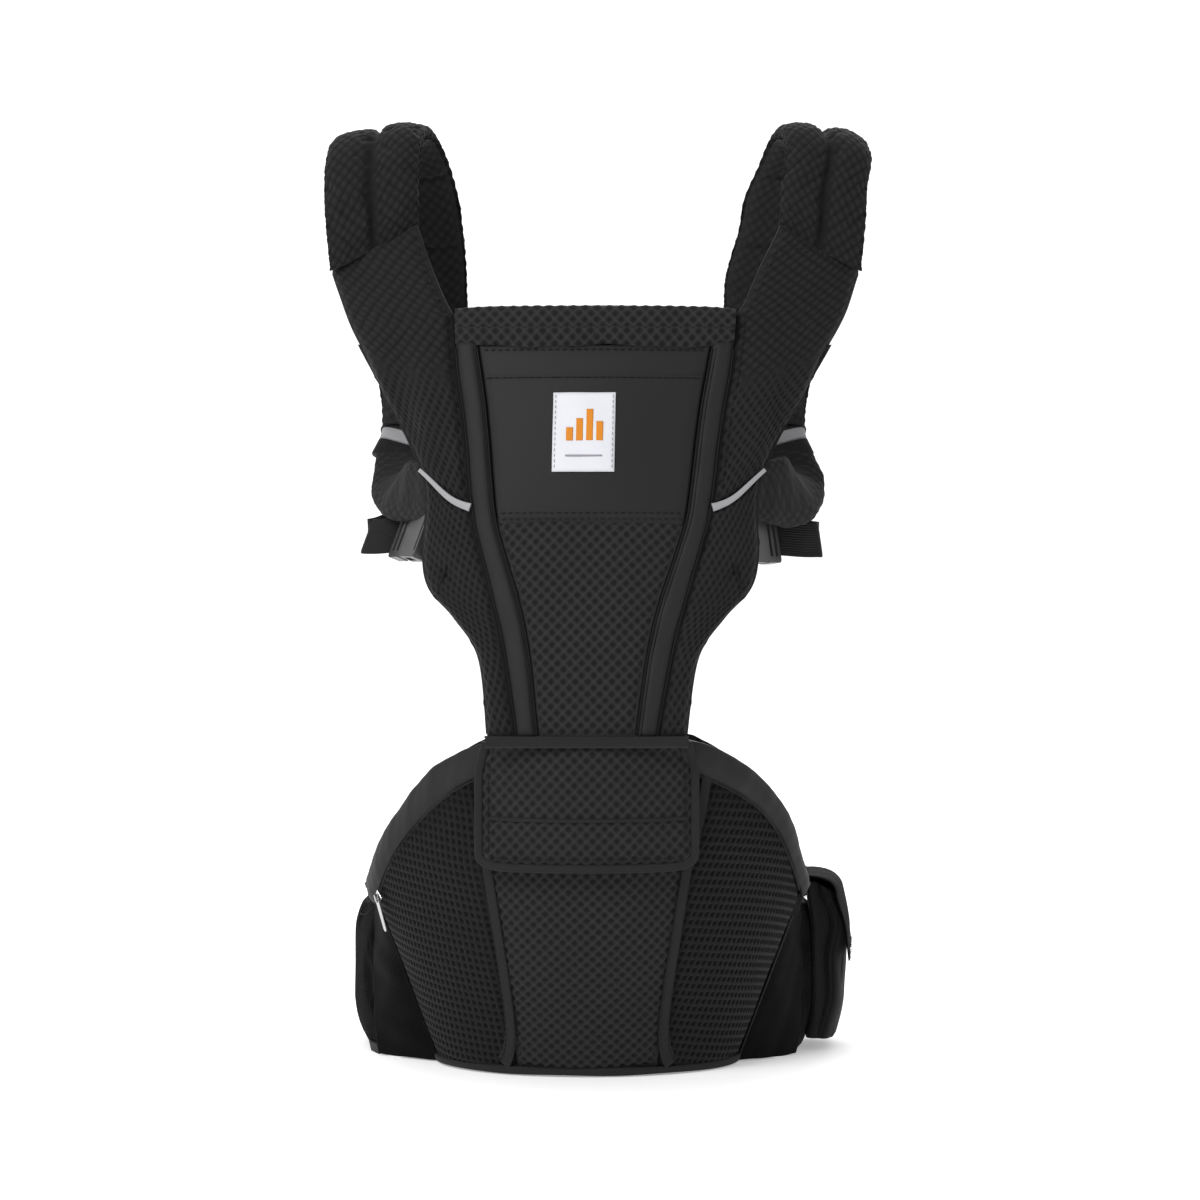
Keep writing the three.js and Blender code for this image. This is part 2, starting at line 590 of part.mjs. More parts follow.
function buildPouch() {
  const half = belt.thick / 2;
  const [t0, t1] = [0.06, 0.27];
  const near = half + 1;
  const far = near + pouch.thick;
  const shell = onWing("right", 5, t0, t1, pouch.low, pouch.high, near, far);
  const floor = pouch.low + pouch.wall;
  const [from, to] = [near + pouch.wall, far - pouch.wall];
  const room = onWing("right", 5, t0 + 0.005, t1 - 0.005, floor, pouch.high + 10, from, to);
  add("pouch_body", cut(shell, room), finish.smoothTwill);
  const lid = onWing("right", 5, t0 - 0.004, t1 + 0.004, pouch.high + 1, pouch.high + 3, near, far + 3);
  const hem = pouch.high - pouch.flapDrop;
  const drop = onWing("right", 5, t0 - 0.004, t1 + 0.004, hem, pouch.high + 2, far + 1, far + 3);
  add("pouch_flap", join(lid, drop), finish.smoothTwill);
}

// ---------- sternum strap ----------
function buildSternumStrap() {
  const [y, z, thick] = [50.5, 486, 1.6]; // the buckle stands off the webbing, so that it can slide over it
  placeBuckle("sternum_buckle", point(-6, y + 6, z), point(1, 0, 0), point(0, 0, 1), 0.72, 0, false);
  const clip = (x) =>
    join(box(x - 9, x + 9, y - 2.4, y - 0.6, z - 12, z + 12), box(x - 9, x - 6, y - 2, y + 3, z - 12, z + 12));
  const arm = (x0, x1) => box(x0, x1, y - 0.7, y - 0.7 + thick, z - 9, z + 9);
  add("sternum_strap_left", join(clip(-113), arm(-121, -27)), finish.webbing);
  add("sternum_strap_right", join(clip(113), arm(14, 121)), finish.webbing);
}

buildSeat();
buildZip();
buildPanel();
buildFlap();
buildStraps();
buildShoulderBuckles();
buildBelt();
buildPouch();
buildSternumStrap();

export default part;
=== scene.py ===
import bmesh
import bpy
import numpy as np
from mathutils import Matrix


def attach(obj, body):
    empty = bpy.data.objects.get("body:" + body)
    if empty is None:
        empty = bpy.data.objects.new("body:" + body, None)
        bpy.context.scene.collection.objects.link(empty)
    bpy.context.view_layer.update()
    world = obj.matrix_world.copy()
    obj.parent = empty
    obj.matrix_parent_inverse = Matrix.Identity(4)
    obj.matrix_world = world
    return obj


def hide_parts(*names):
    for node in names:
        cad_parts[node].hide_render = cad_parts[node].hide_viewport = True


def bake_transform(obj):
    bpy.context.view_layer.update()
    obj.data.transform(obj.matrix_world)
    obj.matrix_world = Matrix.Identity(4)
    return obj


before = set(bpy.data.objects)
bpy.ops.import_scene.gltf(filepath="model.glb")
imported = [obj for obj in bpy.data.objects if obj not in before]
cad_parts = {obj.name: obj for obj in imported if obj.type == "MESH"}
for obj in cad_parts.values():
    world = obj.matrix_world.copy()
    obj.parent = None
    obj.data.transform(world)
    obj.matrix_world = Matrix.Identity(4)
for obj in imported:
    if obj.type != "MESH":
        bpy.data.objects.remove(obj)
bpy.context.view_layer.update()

# A soft baby carrier with a hip seat, in metres. Every surface is a formula of two parameters on a grid.
# Names: u and v are shares from 0 to 1, p and q are lengths along the fabric, used as its UV map.


# Small helpers.

def lerp(a, b, t):
    return a + (b - a) * t


def ease(t):  # smooth step from 0 to 1
    t = np.clip(t, 0, 1)
    return t * t * (3 - 2 * t)


def squarer(wave, power):  # a sine or cosine with flatter tops, so that a circle turns into a rounded box
    return np.sign(wave) * np.abs(wave) ** power


def ringOf(count):  # angles of a closed ring, as a column
    return (np.arange(count) * 2 * np.pi / count)[:, None]


def unit(vectors):
    vectors = np.asarray(vectors, float)
    return vectors / np.maximum(np.linalg.norm(vectors, axis=-1, keepdims=True), 1e-12)


def lengthsAlong(points, axis):  # running distance from the first row or column
    steps = np.linalg.norm(np.diff(points, axis=axis), axis=-1)
    start = np.zeros_like(np.take(steps, [0], axis))
    return np.concatenate([start, np.cumsum(steps, axis)], axis)


def through(pairs):  # a smooth curve through a few (where, value) pairs, read at any place
    knots = np.array(pairs, float)
    k = np.vstack([knots[:1], knots, knots[-1:]])
    t = np.linspace(0, 1, 16)[:, None]
    pieces = []
    for i in range(1, len(k) - 2):
        p0, p1, p2, p3 = k[i - 1:i + 3]
        m1, m2 = (p2 - p0) / 2, (p3 - p1) / 2
        pieces.append(hermite(p1, p2, m1, m2, t))
    table = np.vstack(pieces)
    return lambda at: np.interp(at, table[:, 0], table[:, 1])


def hermite(p1, p2, m1, m2, t):
    return ((2 * t**3 - 3 * t**2 + 1) * p1 + (t**3 - 2 * t**2 + t) * m1
            + (3 * t**2 - 2 * t**3) * p2 + (t**3 - t**2) * m2)


def evenly(path, count):  # the same path at even distances
    run = lengthsAlong(path, 0)
    at = np.linspace(0, run[-1], count)
    return np.stack([np.interp(at, run, path[:, i]) for i in range(path.shape[1])], -1)


def route(knots, count):  # centripetal curve through the knots, as the frame's own curves are
    k = np.array(knots, float)
    k = np.vstack([2 * k[0] - k[1], k, 2 * k[-1] - k[-2]])
    t = np.linspace(0, 1, 40)[:, None]
    pieces = []
    for i in range(1, len(k) - 2):
        p0, p1, p2, p3 = k[i - 1:i + 3]
        d0, d1, d2 = [np.linalg.norm(b - a) ** 0.5 for a, b in ((p0, p1), (p1, p2), (p2, p3))]
        m1 = ((p1 - p0) / d0 - (p2 - p0) / (d0 + d1) + (p2 - p1) / d1) * d1
        m2 = ((p2 - p1) / d1 - (p3 - p1) / (d1 + d2) + (p3 - p2) / d2) * d1
        pieces.append(hermite(p1, p2, m1, m2, t))
    return evenly(np.vstack(pieces), count)


def ripple(p, q, size, seed):  # soft uneven hills, about -1 to 1, from a few crossing waves
    rng = np.random.default_rng(seed)
    total = 0
    for _ in range(6):
        angle, phase, scale = rng.uniform(0, np.pi), rng.uniform(0, 7), rng.uniform(0.6, 1.6)
        total = total + np.sin((p * np.cos(angle) + q * np.sin(angle)) * 2 * np.pi / (size * scale) + phase)
    return total / 4


# Knit patterns: their height from 0 to 1 at fabric lengths p and q.

def diamondKnit(p, q, across=0.0078, along=0.0080):
    # Thin ridges crossing at a slant, with a pit in each diamond.
    s, t = p / across + q / along, p / across - q / along
    return 1 - (np.abs(np.sin(np.pi * s) * np.sin(np.pi * t))) ** 0.6


def scaleKnit(p, q, across=0.0074, along=0.0076):  # low pillows in staggered rows, like scales
    s, t = p / across + q / along, p / across - q / along
    return np.abs(np.sin(np.pi * s) * np.sin(np.pi * t)) ** 0.55


def ovalKnit(p, q, across=0.0054, along=0.0088):  # staggered upright oval pits
    s, t = p / across + q / along, p / across - q / along
    return 1 - (np.abs(np.sin(np.pi * s) * np.sin(np.pi * t))) ** 1.3


def squareMesh(p, q, across=0.0048, along=0.0056):  # square holes in straight rows
    hole = lambda x, pitch: ease((0.36 - np.abs(x / pitch % 1 - 0.5)) / 0.16)
    return 1 - hole(p, across) * hole(q, along)


def flat(p, q):
    return np.ones_like(p)


# Meshes from grids.

def normalsOf(points, closed):  # unit normals of a grid, closed or open round its first axis
    if closed:
        du = np.roll(points, -1, 0) - np.roll(points, 1, 0)
    else:
        du = np.gradient(points, axis=0)
    return unit(np.cross(du, np.gradient(points, axis=1)))


def buildMesh(name, verts, quads, quadUvs, tris=None, triUvs=None, paintedShade=None):
    # Four- and three-cornered faces into one mesh, turned to face outwards, with UVs in metres.
    tris = np.zeros((0, 3), int) if tris is None else tris
    triUvs = np.zeros((0, 3, 2)) if triUvs is None else triUvs
    corners = np.concatenate([quads[:, [0, 1, 2]], quads[:, [0, 2, 3]], tris])
    a, b, c = (verts[corners[:, i]] for i in range(3))
    if np.einsum("ij,ij->i", a, np.cross(b, c)).sum() < 0:
        quads, quadUvs, tris, triUvs = quads[:, ::-1], quadUvs[:, ::-1], tris[:, ::-1], triUvs[:, ::-1]
    mesh = bpy.data.meshes.new(name)
    mesh.vertices.add(len(verts))
    mesh.vertices.foreach_set("co", verts.astype(np.float32).ravel())
    mesh.loops.add(quads.size + tris.size)
    mesh.loops.foreach_set("vertex_index", np.concatenate([quads.ravel(), tris.ravel()]).astype(np.int32))
    starts = np.concatenate([np.arange(len(quads)) * 4, quads.size + np.arange(len(tris)) * 3])
    mesh.polygons.add(len(starts))
    mesh.polygons.foreach_set("loop_start", starts.astype(np.int32))
    mesh.polygons.foreach_set("use_smooth", np.ones(len(starts), bool))
    layer = mesh.uv_layers.new(name="fabric")
    mesh.update(calc_edges=True)
    uvs = np.concatenate([quadUvs.reshape(-1, 2), triUvs.reshape(-1, 2)])
    layer.data.foreach_set("uv", uvs.astype(np.float32).ravel())
    # this attribute is a painted shade factor per vertex: 1 where lit, lower in knit pits, along rolled seams,
    # under the lip and in strap creases; the cloth looks darken their colour by it
    if paintedShade is not None:
        attribute = mesh.attributes.new("paintedShade", "FLOAT", "POINT")
        attribute.data.foreach_set("value", paintedShade.astype(np.float32).ravel())
    mesh.validate()
    obj = bpy.data.objects.new(name, mesh)
    bpy.context.scene.collection.objects.link(obj)
    return obj


def gridCorners(nu, nv, closed):  # corner indices of a grid's quads, into the mesh and into the UV grid
    i, j = np.meshgrid(np.arange(nu if closed else nu - 1), np.arange(nv - 1), indexing="ij")
    i, j = i.ravel(), j.ravel()
    steps = ((0, 0), (1, 0), (1, 1), (0, 1))
    mesh = np.stack([((i + a) % nu) * nv + j + b for a, b in steps], -1)
    uv = np.stack([(i + a) * nv + j + b for a, b in steps], -1)
    return mesh, uv


def shellMesh(name, top, bottom, uv, paintedShade):
    # A sheet with thickness: its top and bottom grids joined by a rim.
    nu, nv = top.shape[:2]
    quads, _ = gridCorners(nu, nv, False)
    ids = np.arange(nu * nv).reshape(nu, nv)
    rim = np.concatenate([ids[:-1, 0], ids[-1, :-1], ids[:0:-1, -1], ids[0, :0:-1]])
    after = np.roll(rim, -1)
    count = nu * nv
    sides = np.stack([after, rim, rim + count, after + count], -1)
    both = np.concatenate([quads, quads[:, ::-1] + count, sides])
    flatUv = uv.reshape(-1, 2)
    flatUv = np.concatenate([flatUv, flatUv])
    verts = np.concatenate([top.reshape(-1, 3), bottom.reshape(-1, 3)])
    depth = np.concatenate([paintedShade.ravel(), np.ones(count)])
    return buildMesh(name, verts, both, flatUv[both], paintedShade=depth)


def loftMesh(name, loops, uv, paintedShade):
    # Closed loops along a path, with a fan over each end. uv has one row more than loops, for the join.
    nu, nv = loops.shape[:2]
    quads, uvIds = gridCorners(nu, nv, True)
    verts = [loops.reshape(-1, 3)]
    tris = []
    for end, flip in ((0, 1), (nv - 1, -1)):
        ring = np.arange(nu) * nv + end
        middle = np.full(nu, nu * nv + len(tris))
        verts.append(loops[:, end].mean(0)[None])
        tris.append(np.stack([middle, np.roll(ring, -1), ring][::flip], -1))
    tris = np.concatenate(tris)
    verts = np.concatenate(verts)
    flatUv = uv.reshape(-1, 2)
    triUv = np.zeros((len(tris), 3, 2)) + flatUv[0]
    depth = np.concatenate([paintedShade.ravel(), [1, 1]])
    return buildMesh(name, verts, quads, flatUv[uvIds], tris, triUv, depth)


def placesOf(mesh):  # its vertices as an array of rows
    places = np.zeros(len(mesh.vertices) * 3, np.float32)
    mesh.vertices.foreach_get("co", places)
    return places.reshape(-1, 3)


def leanAsWorn(mesh):  # the top of the panel and the straps stand a little to one side, and spread
    places = placesOf(mesh)
    lean = 0.0055 * np.clip((places[:, 2] - 0.23) / 0.28, 0, 1)
    spread = 0.045 * ease((places[:, 2] - 0.44) / 0.07)
    right = (places[:, 0] > 0.08) * 1.0
    inner = 0.008 * ease((places[:, 2] - 0.53) / 0.05) * (1 - np.clip((places[:, 0] - 0.085) / 0.09, 0, 1))
    outer = 0.005 * ease((places[:, 2] - 0.585) / 0.03)
    places[:, 0] += lean + spread * places[:, 0] + right * (inner + outer)
    places[:, 2] += 0.0036 * ease((places[:, 2] - 0.54) / 0.08)
    mesh.vertices.foreach_set("co", places.ravel())


def leanSeat(mesh):  # the upper half of the seat stands a little to one side too
    places = placesOf(mesh)
    places[:, 0] += 0.0035 * ease((places[:, 2] - 0.135) / 0.05)
    mesh.vertices.foreach_set("co", places.ravel())


def finishPiece(obj, look, body, stands=()):
    if body == "panel" and not look == "acetal":
        leanAsWorn(obj.data)
    if body == "hip_seat":
        leanSeat(obj.data)
    obj.data.materials.append(looks[look])
    if isinstance(body, str):
        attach(obj, body)
    else:
        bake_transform(obj)
    if stands:
        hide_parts(*stands)
    return obj


def sheetPiece(name, surface, step, look, body, stands=(), knit=flat, depth=0.0, thick=0.002,
               towards=(0, -1, 0), roll=0.0, rollWidth=0.004, crown=None, turn=0.0, sides=(1, 1, 1, 1),
               shade=None):
    # A sewn sheet: surface(u, v) raised by its knit and crown, and rolled down along its sewn sides.
    # sides says which of the sides u=0, u=1, v=0 and v=1 are rolled down.
    rough = surface(*np.meshgrid(np.linspace(0, 1, 12), np.linspace(0, 1, 12), indexing="ij"))
    nu = int(lengthsAlong(rough, 0)[-1].max() / step) + 3
    nv = int(lengthsAlong(rough, 1)[:, -1].max() / step) + 3
    u, v = np.meshgrid(np.linspace(0, 1, nu), np.linspace(0, 1, nv), indexing="ij")
    base = surface(u, v)
    normals = normalsOf(base, False)
    if (normals * np.array(towards)).sum() < 0:
        normals = -normals
    p, q = lengthsAlong(base, 0), lengthsAlong(base, 1)
    fromSides = (p, p[-1:] - p, q, q[:, -1:] - q)
    edge = np.min([np.where(on, d, 1.0) for on, d in zip(sides, fromSides)], 0)
    p = p - p[-1:] / 2
    a, b = p * np.cos(turn) - q * np.sin(turn), p * np.sin(turn) + q * np.cos(turn)
    pattern = knit(a, b)
    inner = ease(edge / 0.003)
    lift = (pattern - 1) * depth * inner - roll * np.exp(-(edge / rollWidth) ** 2)
    if crown is not None:
        lift = lift + crown(u, v, p, q)
    # painted shade: the colour darkens in the knit's pits and along a thin line at the rolled-down sides, and
    # by shade(u, v) where given
    paintedShade = lerp(1, pattern, inner) * (1 - 0.55 * np.exp(-(edge / 0.0012) ** 2) * (roll > 0))
    if shade is not None:
        paintedShade = paintedShade * shade(u, v)
    top = base + normals * lift[..., None]
    bottom = base - normals * thick
    obj = shellMesh(name, top, bottom, np.stack([a, b], -1), paintedShade)
    return finishPiece(obj, look, body, stands)


def loftPiece(name, loops, look, body, stands=(), knit=flat, depth=0.0, shade=None, cover=None):
    # A closed padded form from loops[around, along], raised by its knit; cover fades the knit where it is 0.
    ring = np.concatenate([loops, loops[:1]])
    p, q = lengthsAlong(ring, 0), lengthsAlong(ring, 1)
    q = q.mean(0, keepdims=True) + 0 * q
    p = p * p[-1:].mean() / p[-1:]
    pattern = knit(p[:-1], q[:-1])
    mask = 1.0 if cover is None else cover
    normals = normalsOf(loops, True)
    middle = loops.mean(0, keepdims=True)
    if ((loops - middle) * normals).sum() < 0:
        normals = -normals
    verts = loops + normals * ((pattern - 1) * depth * mask)[..., None]
    # painted shade: the colour darkens in the knit's pits, and by shade where given
    paintedShade = lerp(1, pattern, mask)
    if shade is not None:
        paintedShade = paintedShade * shade
    obj = loftMesh(name, verts, np.stack([p, q], -1), paintedShade)
    return finishPiece(obj, look, body, stands)


def ribbonLoops(path, across, out, width, thick, around=12):
    # The loops of a flat band with rounded edges: a squared-off ellipse carried along a path.
    angle = np.arange(around) * 2 * np.pi / around
    c, s = np.cos(angle), np.sin(angle)
    x, y = squarer(c, 0.35), squarer(s, 0.6)
    width, thick = np.broadcast_to(width, len(path)), np.broadcast_to(thick, len(path))
    return (path[None] + across[None] * (x[:, None] * width / 2)[..., None]
            + out[None] * (y[:, None] * thick / 2)[..., None])


def ribbon(name, path, normals, width, thick, look, body, stands=(), offset=0.0, around=12):
    # A band that lies on a surface: its width runs across the path in that surface.
    normals = unit(normals + 0 * path)
    tangents = unit(np.gradient(path, axis=0))
    across = unit(np.cross(normals, tangents))
    out = unit(np.cross(tangents, across))
    loops = ribbonLoops(path + out * offset, across, out, width, thick, around)
    return loftPiece(name, loops, look, body, stands)


def stitches(name, lines, body, length=0.0030, space=0.0016, radius=0.00035, look="thread"):
    # Rows of separate stitches: short closed threads that arch out of the fabric and dive back into it.
    # lines is a list of (path, normals).
    ring = np.arange(5) * 2 * np.pi / 5
    share = np.array([0, 0.18, 0.5, 0.82, 1])
    arch = np.array([-0.9, 0.35, 0.8, 0.35, -0.9]) * radius
    fat = np.array([0.45, 1, 1, 1, 0.45]) * radius
    allVerts, allQuads = [], []
    one, _ = gridCorners(5, 5, True)
    total = 0
    for path, normals in lines:
        normals = unit(normals + 0 * path)
        run = lengthsAlong(path, 0)
        starts = np.arange(space, run[-1] - length, length + space)
        if not len(starts):
            continue
        at = starts[:, None] + share * length
        read = lambda table: np.stack([np.interp(at, run, table[:, i]) for i in range(3)], -1)
        where, up = read(path), unit(read(normals))
        along = unit(np.gradient(where, axis=1))
        side = np.cross(along, up)
        centre = where + up * arch[None, :, None]
        loops = (centre[:, None] + up[:, None] * (np.sin(ring)[:, None] * fat)[None, :, :, None]
                 + side[:, None] * (np.cos(ring)[:, None] * fat)[None, :, :, None])
        count = len(starts)
        allVerts.append(loops.reshape(-1, 3))
        offsets = total + np.arange(count)[:, None, None] * 25
        allQuads.append((one[None] + offsets).reshape(-1, 4))
        total += count * 25
    verts, quads = np.concatenate(allVerts), np.concatenate(allQuads)
    fan = np.array([[0, 1, 2], [0, 2, 3], [0, 3, 4]]) * 5
    first = np.arange(total // 25)[:, None, None] * 25
    tris = np.concatenate([(first + fan[:, ::-1]).reshape(-1, 3), (first + fan + 4).reshape(-1, 3)])
    obj = buildMesh(name, verts, quads, np.zeros((len(quads), 4, 2)), tris, np.zeros((len(tris), 3, 2)))
    return finishPiece(obj, look, body)


def refine(grid, count, axis, closed):  # more rows along one axis, on a smooth curve through the old ones
    size = grid.shape[axis]
    x = np.arange(count) * size / count if closed else np.linspace(0, size - 1, count)
    i = np.minimum(np.floor(x).astype(int), size - 1 if closed else size - 2)
    t = (x - i).reshape([-1 if k == axis else 1 for k in range(grid.ndim)])
    pick = lambda k: np.take(grid, (i + k) % size if closed else np.clip(i + k, 0, size - 1), axis)
    p0, p1, p2, p3 = pick(-1), pick(0), pick(1), pick(2)
    return hermite(p1, p2, (p2 - p0) / 2, (p3 - p1) / 2, t)


def swell(loops, held, pressure=3.0, slackness=0.03, cap=0.004, frames=16):
    # Blows a closed form up like stuffed cloth with a short cloth simulation. held marks the points that
    # seams hold; slackness is how much longer the cloth is than the form; no point moves more than cap.
    nu, nv = loops.shape[:2]
    obj = loftMesh("swelling", loops, np.zeros((nu + 1, nv, 2)), np.ones((nu, nv)))
    group = obj.vertex_groups.new(name="held")
    ends = [nu * nv, nu * nv + 1]
    group.add([int(i) for i in np.flatnonzero(held.ravel())] + ends, 1.0, "REPLACE")
    cloth = obj.modifiers.new("cloth", "CLOTH")
    cloth.settings.quality = 5
    cloth.settings.mass = 0.15
    cloth.settings.use_pressure = True
    cloth.settings.uniform_pressure_force = pressure
    cloth.settings.shrink_min = -slackness
    cloth.settings.vertex_group_mass = "held"
    cloth.settings.effector_weights.gravity = 0
    cloth.point_cache.frame_end = frames
    for number in range(1, frames + 1):
        bpy.context.scene.frame_set(number)
    places = placesOf(obj.evaluated_get(bpy.context.evaluated_depsgraph_get()).data)
    mesh = obj.data
    bpy.data.objects.remove(obj)
    bpy.data.meshes.remove(mesh)
    bpy.context.scene.frame_set(1)
    moved = places[:nu * nv].reshape(nu, nv, 3) - loops
    size = np.linalg.norm(moved, axis=-1, keepdims=True)
    return loops + moved * np.minimum(1, cap / np.maximum(size, 1e-9))


# Camera, floor and light.

shot = {"height": 0.340, "distance": 2.1376, "side": 0.0085, "lens": 94.1, "tilt": 0.0112}


def setStage():
    camera = bpy.data.objects.new("camera", bpy.data.cameras.new("camera"))
    camera.location = (shot["side"], -shot["distance"], shot["height"])
    camera.rotation_euler = (np.pi / 2 - shot["tilt"], 0, 0)
    camera.data.lens = shot["lens"]
    camera.data.clip_end = 50
    bpy.context.scene.collection.objects.link(camera)
    bpy.context.scene.camera = camera
    wide = 12.0
    # the floor runs back and then curves up into a wall
    run = np.array([(-6.0, 0.0), (2.2, 0.0), (2.9, 0.12), (3.3, 0.5), (3.45, 1.1), (3.5, 6.0)])
    path = evenly(run, 60)
    x = np.linspace(-wide, wide, 3)[:, None] + 0 * path[None, :, 0]
    grid = np.stack([x, path[None, :, 0] + 0 * x, path[None, :, 1] + 0 * x - 0.0005], -1)
    quads, _ = gridCorners(3, 60, False)
    floor = buildMesh("floor", grid.reshape(-1, 3), quads, np.zeros((len(quads), 4, 2)))
    floor.data.materials.append(looks["floor"])
    lamps = {  # place, what it faces, size and power
        "keyLamp": ((-1.5, -2.1, 2.0), 1.2, 62),
        "fillLamp": ((1.6, -2.0, 1.3), 1.6, 3),
        "topLamp": ((-0.3, 0.3, 2.6), 1.8, 12),
        "backLamp": ((0.3, 2.0, 1.6), 1.6, 26),
    }
    for name, (place, size, power) in lamps.items():
        lamp = bpy.data.objects.new(name, bpy.data.lights.new(name, "AREA"))
        lamp.data.size = size
        lamp.data.energy = power
        lamp.location = place
        aim = np.array([0, 0, 0.32]) - np.array(place)
        lamp.rotation_euler = (np.arctan2(np.hypot(aim[0], aim[1]), -aim[2]), 0, np.arctan2(-aim[0], aim[1]))
        bpy.context.scene.collection.objects.link(lamp)
    world = bpy.data.worlds.new("studio")
    world.use_nodes = True
    world.node_tree.nodes["Background"].inputs["Color"].default_value = (1, 1, 1, 1)
    world.node_tree.nodes["Background"].inputs["Strength"].default_value = 0.55
    bpy.context.scene.world = world
    bpy.context.scene.view_settings.view_transform = "Standard"


# Materials.

def newGroup(name, inputs, outputs):
    group = bpy.data.node_groups.new(name, "ShaderNodeTree")
    for label, value in inputs.items():
        socket = group.interface.new_socket(label, in_out="INPUT", socket_type="NodeSocketFloat")
        socket.default_value = value
    for label in outputs:
        group.interface.new_socket(label, in_out="OUTPUT", socket_type="NodeSocketFloat")
    return group, group.nodes.new("NodeGroupInput"), group.nodes.new("NodeGroupOutput")


def mathNode(tree, operation, first, second=None, third=None):
    node = tree.nodes.new("ShaderNodeMath")
    node.operation = operation
    for socket, value in zip(node.inputs, (first, second, third)):
        if value is None:
            continue
        if isinstance(value, (int, float)):
            socket.default_value = value
        else:
            tree.links.new(value, socket)
    return node.outputs[0]


def makeThreadsGroup():
    # Threads at UV lengths: a wave across times a wave along. They are ribs where crossing is 0, and a weave
    # where it is 1.
    group, given, put = newGroup("threads", {"Across": 900.0, "Along": 900.0, "Slant": 0.0, "Crossing": 1.0},
                                 ("Height",))
    uv = group.nodes.new("ShaderNodeUVMap")
    uv.uv_map = "fabric"
    apart = group.nodes.new("ShaderNodeSeparateXYZ")
    group.links.new(uv.outputs[0], apart.inputs[0])
    slanted = mathNode(group, "MULTIPLY_ADD", apart.outputs[1], given.outputs["Slant"], apart.outputs[0])
    fullTurn = 6.2832
    turns = mathNode(group, "MULTIPLY", slanted, mathNode(group, "MULTIPLY", given.outputs["Across"], fullTurn))
    across = mathNode(group, "SINE", turns)
    pitch = mathNode(group, "MULTIPLY", given.outputs["Along"], fullTurn)
    along = mathNode(group, "SINE", mathNode(group, "MULTIPLY", apart.outputs[1], pitch))
    woven = mathNode(group, "MULTIPLY", across, along)
    apartness = mathNode(group, "SUBTRACT", woven, across)
    mixed = mathNode(group, "MULTIPLY_ADD", apartness, given.outputs["Crossing"], across)
    group.links.new(mathNode(group, "MULTIPLY_ADD", mixed, 0.5, 0.5), put.inputs["Height"])
    return group


def makeCastGroup():
    # Slow uneven fading of the cloth and sparse pale lint, both from noise in object space.
    group, given, put = newGroup("clothCast", {"Size": 30.0, "Amount": 0.2, "Lint": 0.0}, ("Shade", "Lint"))
    place = group.nodes.new("ShaderNodeTexCoord")
    slow = group.nodes.new("ShaderNodeTexNoise")
    slow.inputs["Detail"].default_value = 4
    group.links.new(place.outputs["Object"], slow.inputs["Vector"])
    group.links.new(given.outputs["Size"], slow.inputs["Scale"])
    centred = mathNode(group, "SUBTRACT", slow.outputs[0], 0.5)
    shade = mathNode(group, "MULTIPLY_ADD", centred, given.outputs["Amount"], 1.0)
    group.links.new(shade, put.inputs["Shade"])
    fine = group.nodes.new("ShaderNodeTexNoise")
    fine.inputs["Scale"].default_value = 1400
    fine.inputs["Detail"].default_value = 1
    group.links.new(place.outputs["Object"], fine.inputs["Vector"])
    specks = mathNode(group, "MULTIPLY", mathNode(group, "SUBTRACT", fine.outputs[0], 0.66), 12.0)
    clipped = mathNode(group, "MINIMUM", mathNode(group, "MAXIMUM", specks, 0.0), 1.0)
    group.links.new(mathNode(group, "MULTIPLY", clipped, given.outputs["Lint"]), put.inputs["Lint"])
    return group


def groupNode(tree, group, values):
    node = tree.nodes.new("ShaderNodeGroup")
    node.node_tree = group
    for label, value in values.items():
        node.inputs[label].default_value = value
    return node


def mixColour(tree, mode, factor, first, second):
    node = tree.nodes.new("ShaderNodeMix")
    node.data_type = "RGBA"
    node.blend_type = mode
    for socket, value in ((node.inputs[0], factor), (node.inputs[6], first), (node.inputs[7], second)):
        if hasattr(value, "links"):
            tree.links.new(value, socket)
        else:
            socket.default_value = value if isinstance(value, (int, float)) else (*value, 1)
    return node.outputs[2]


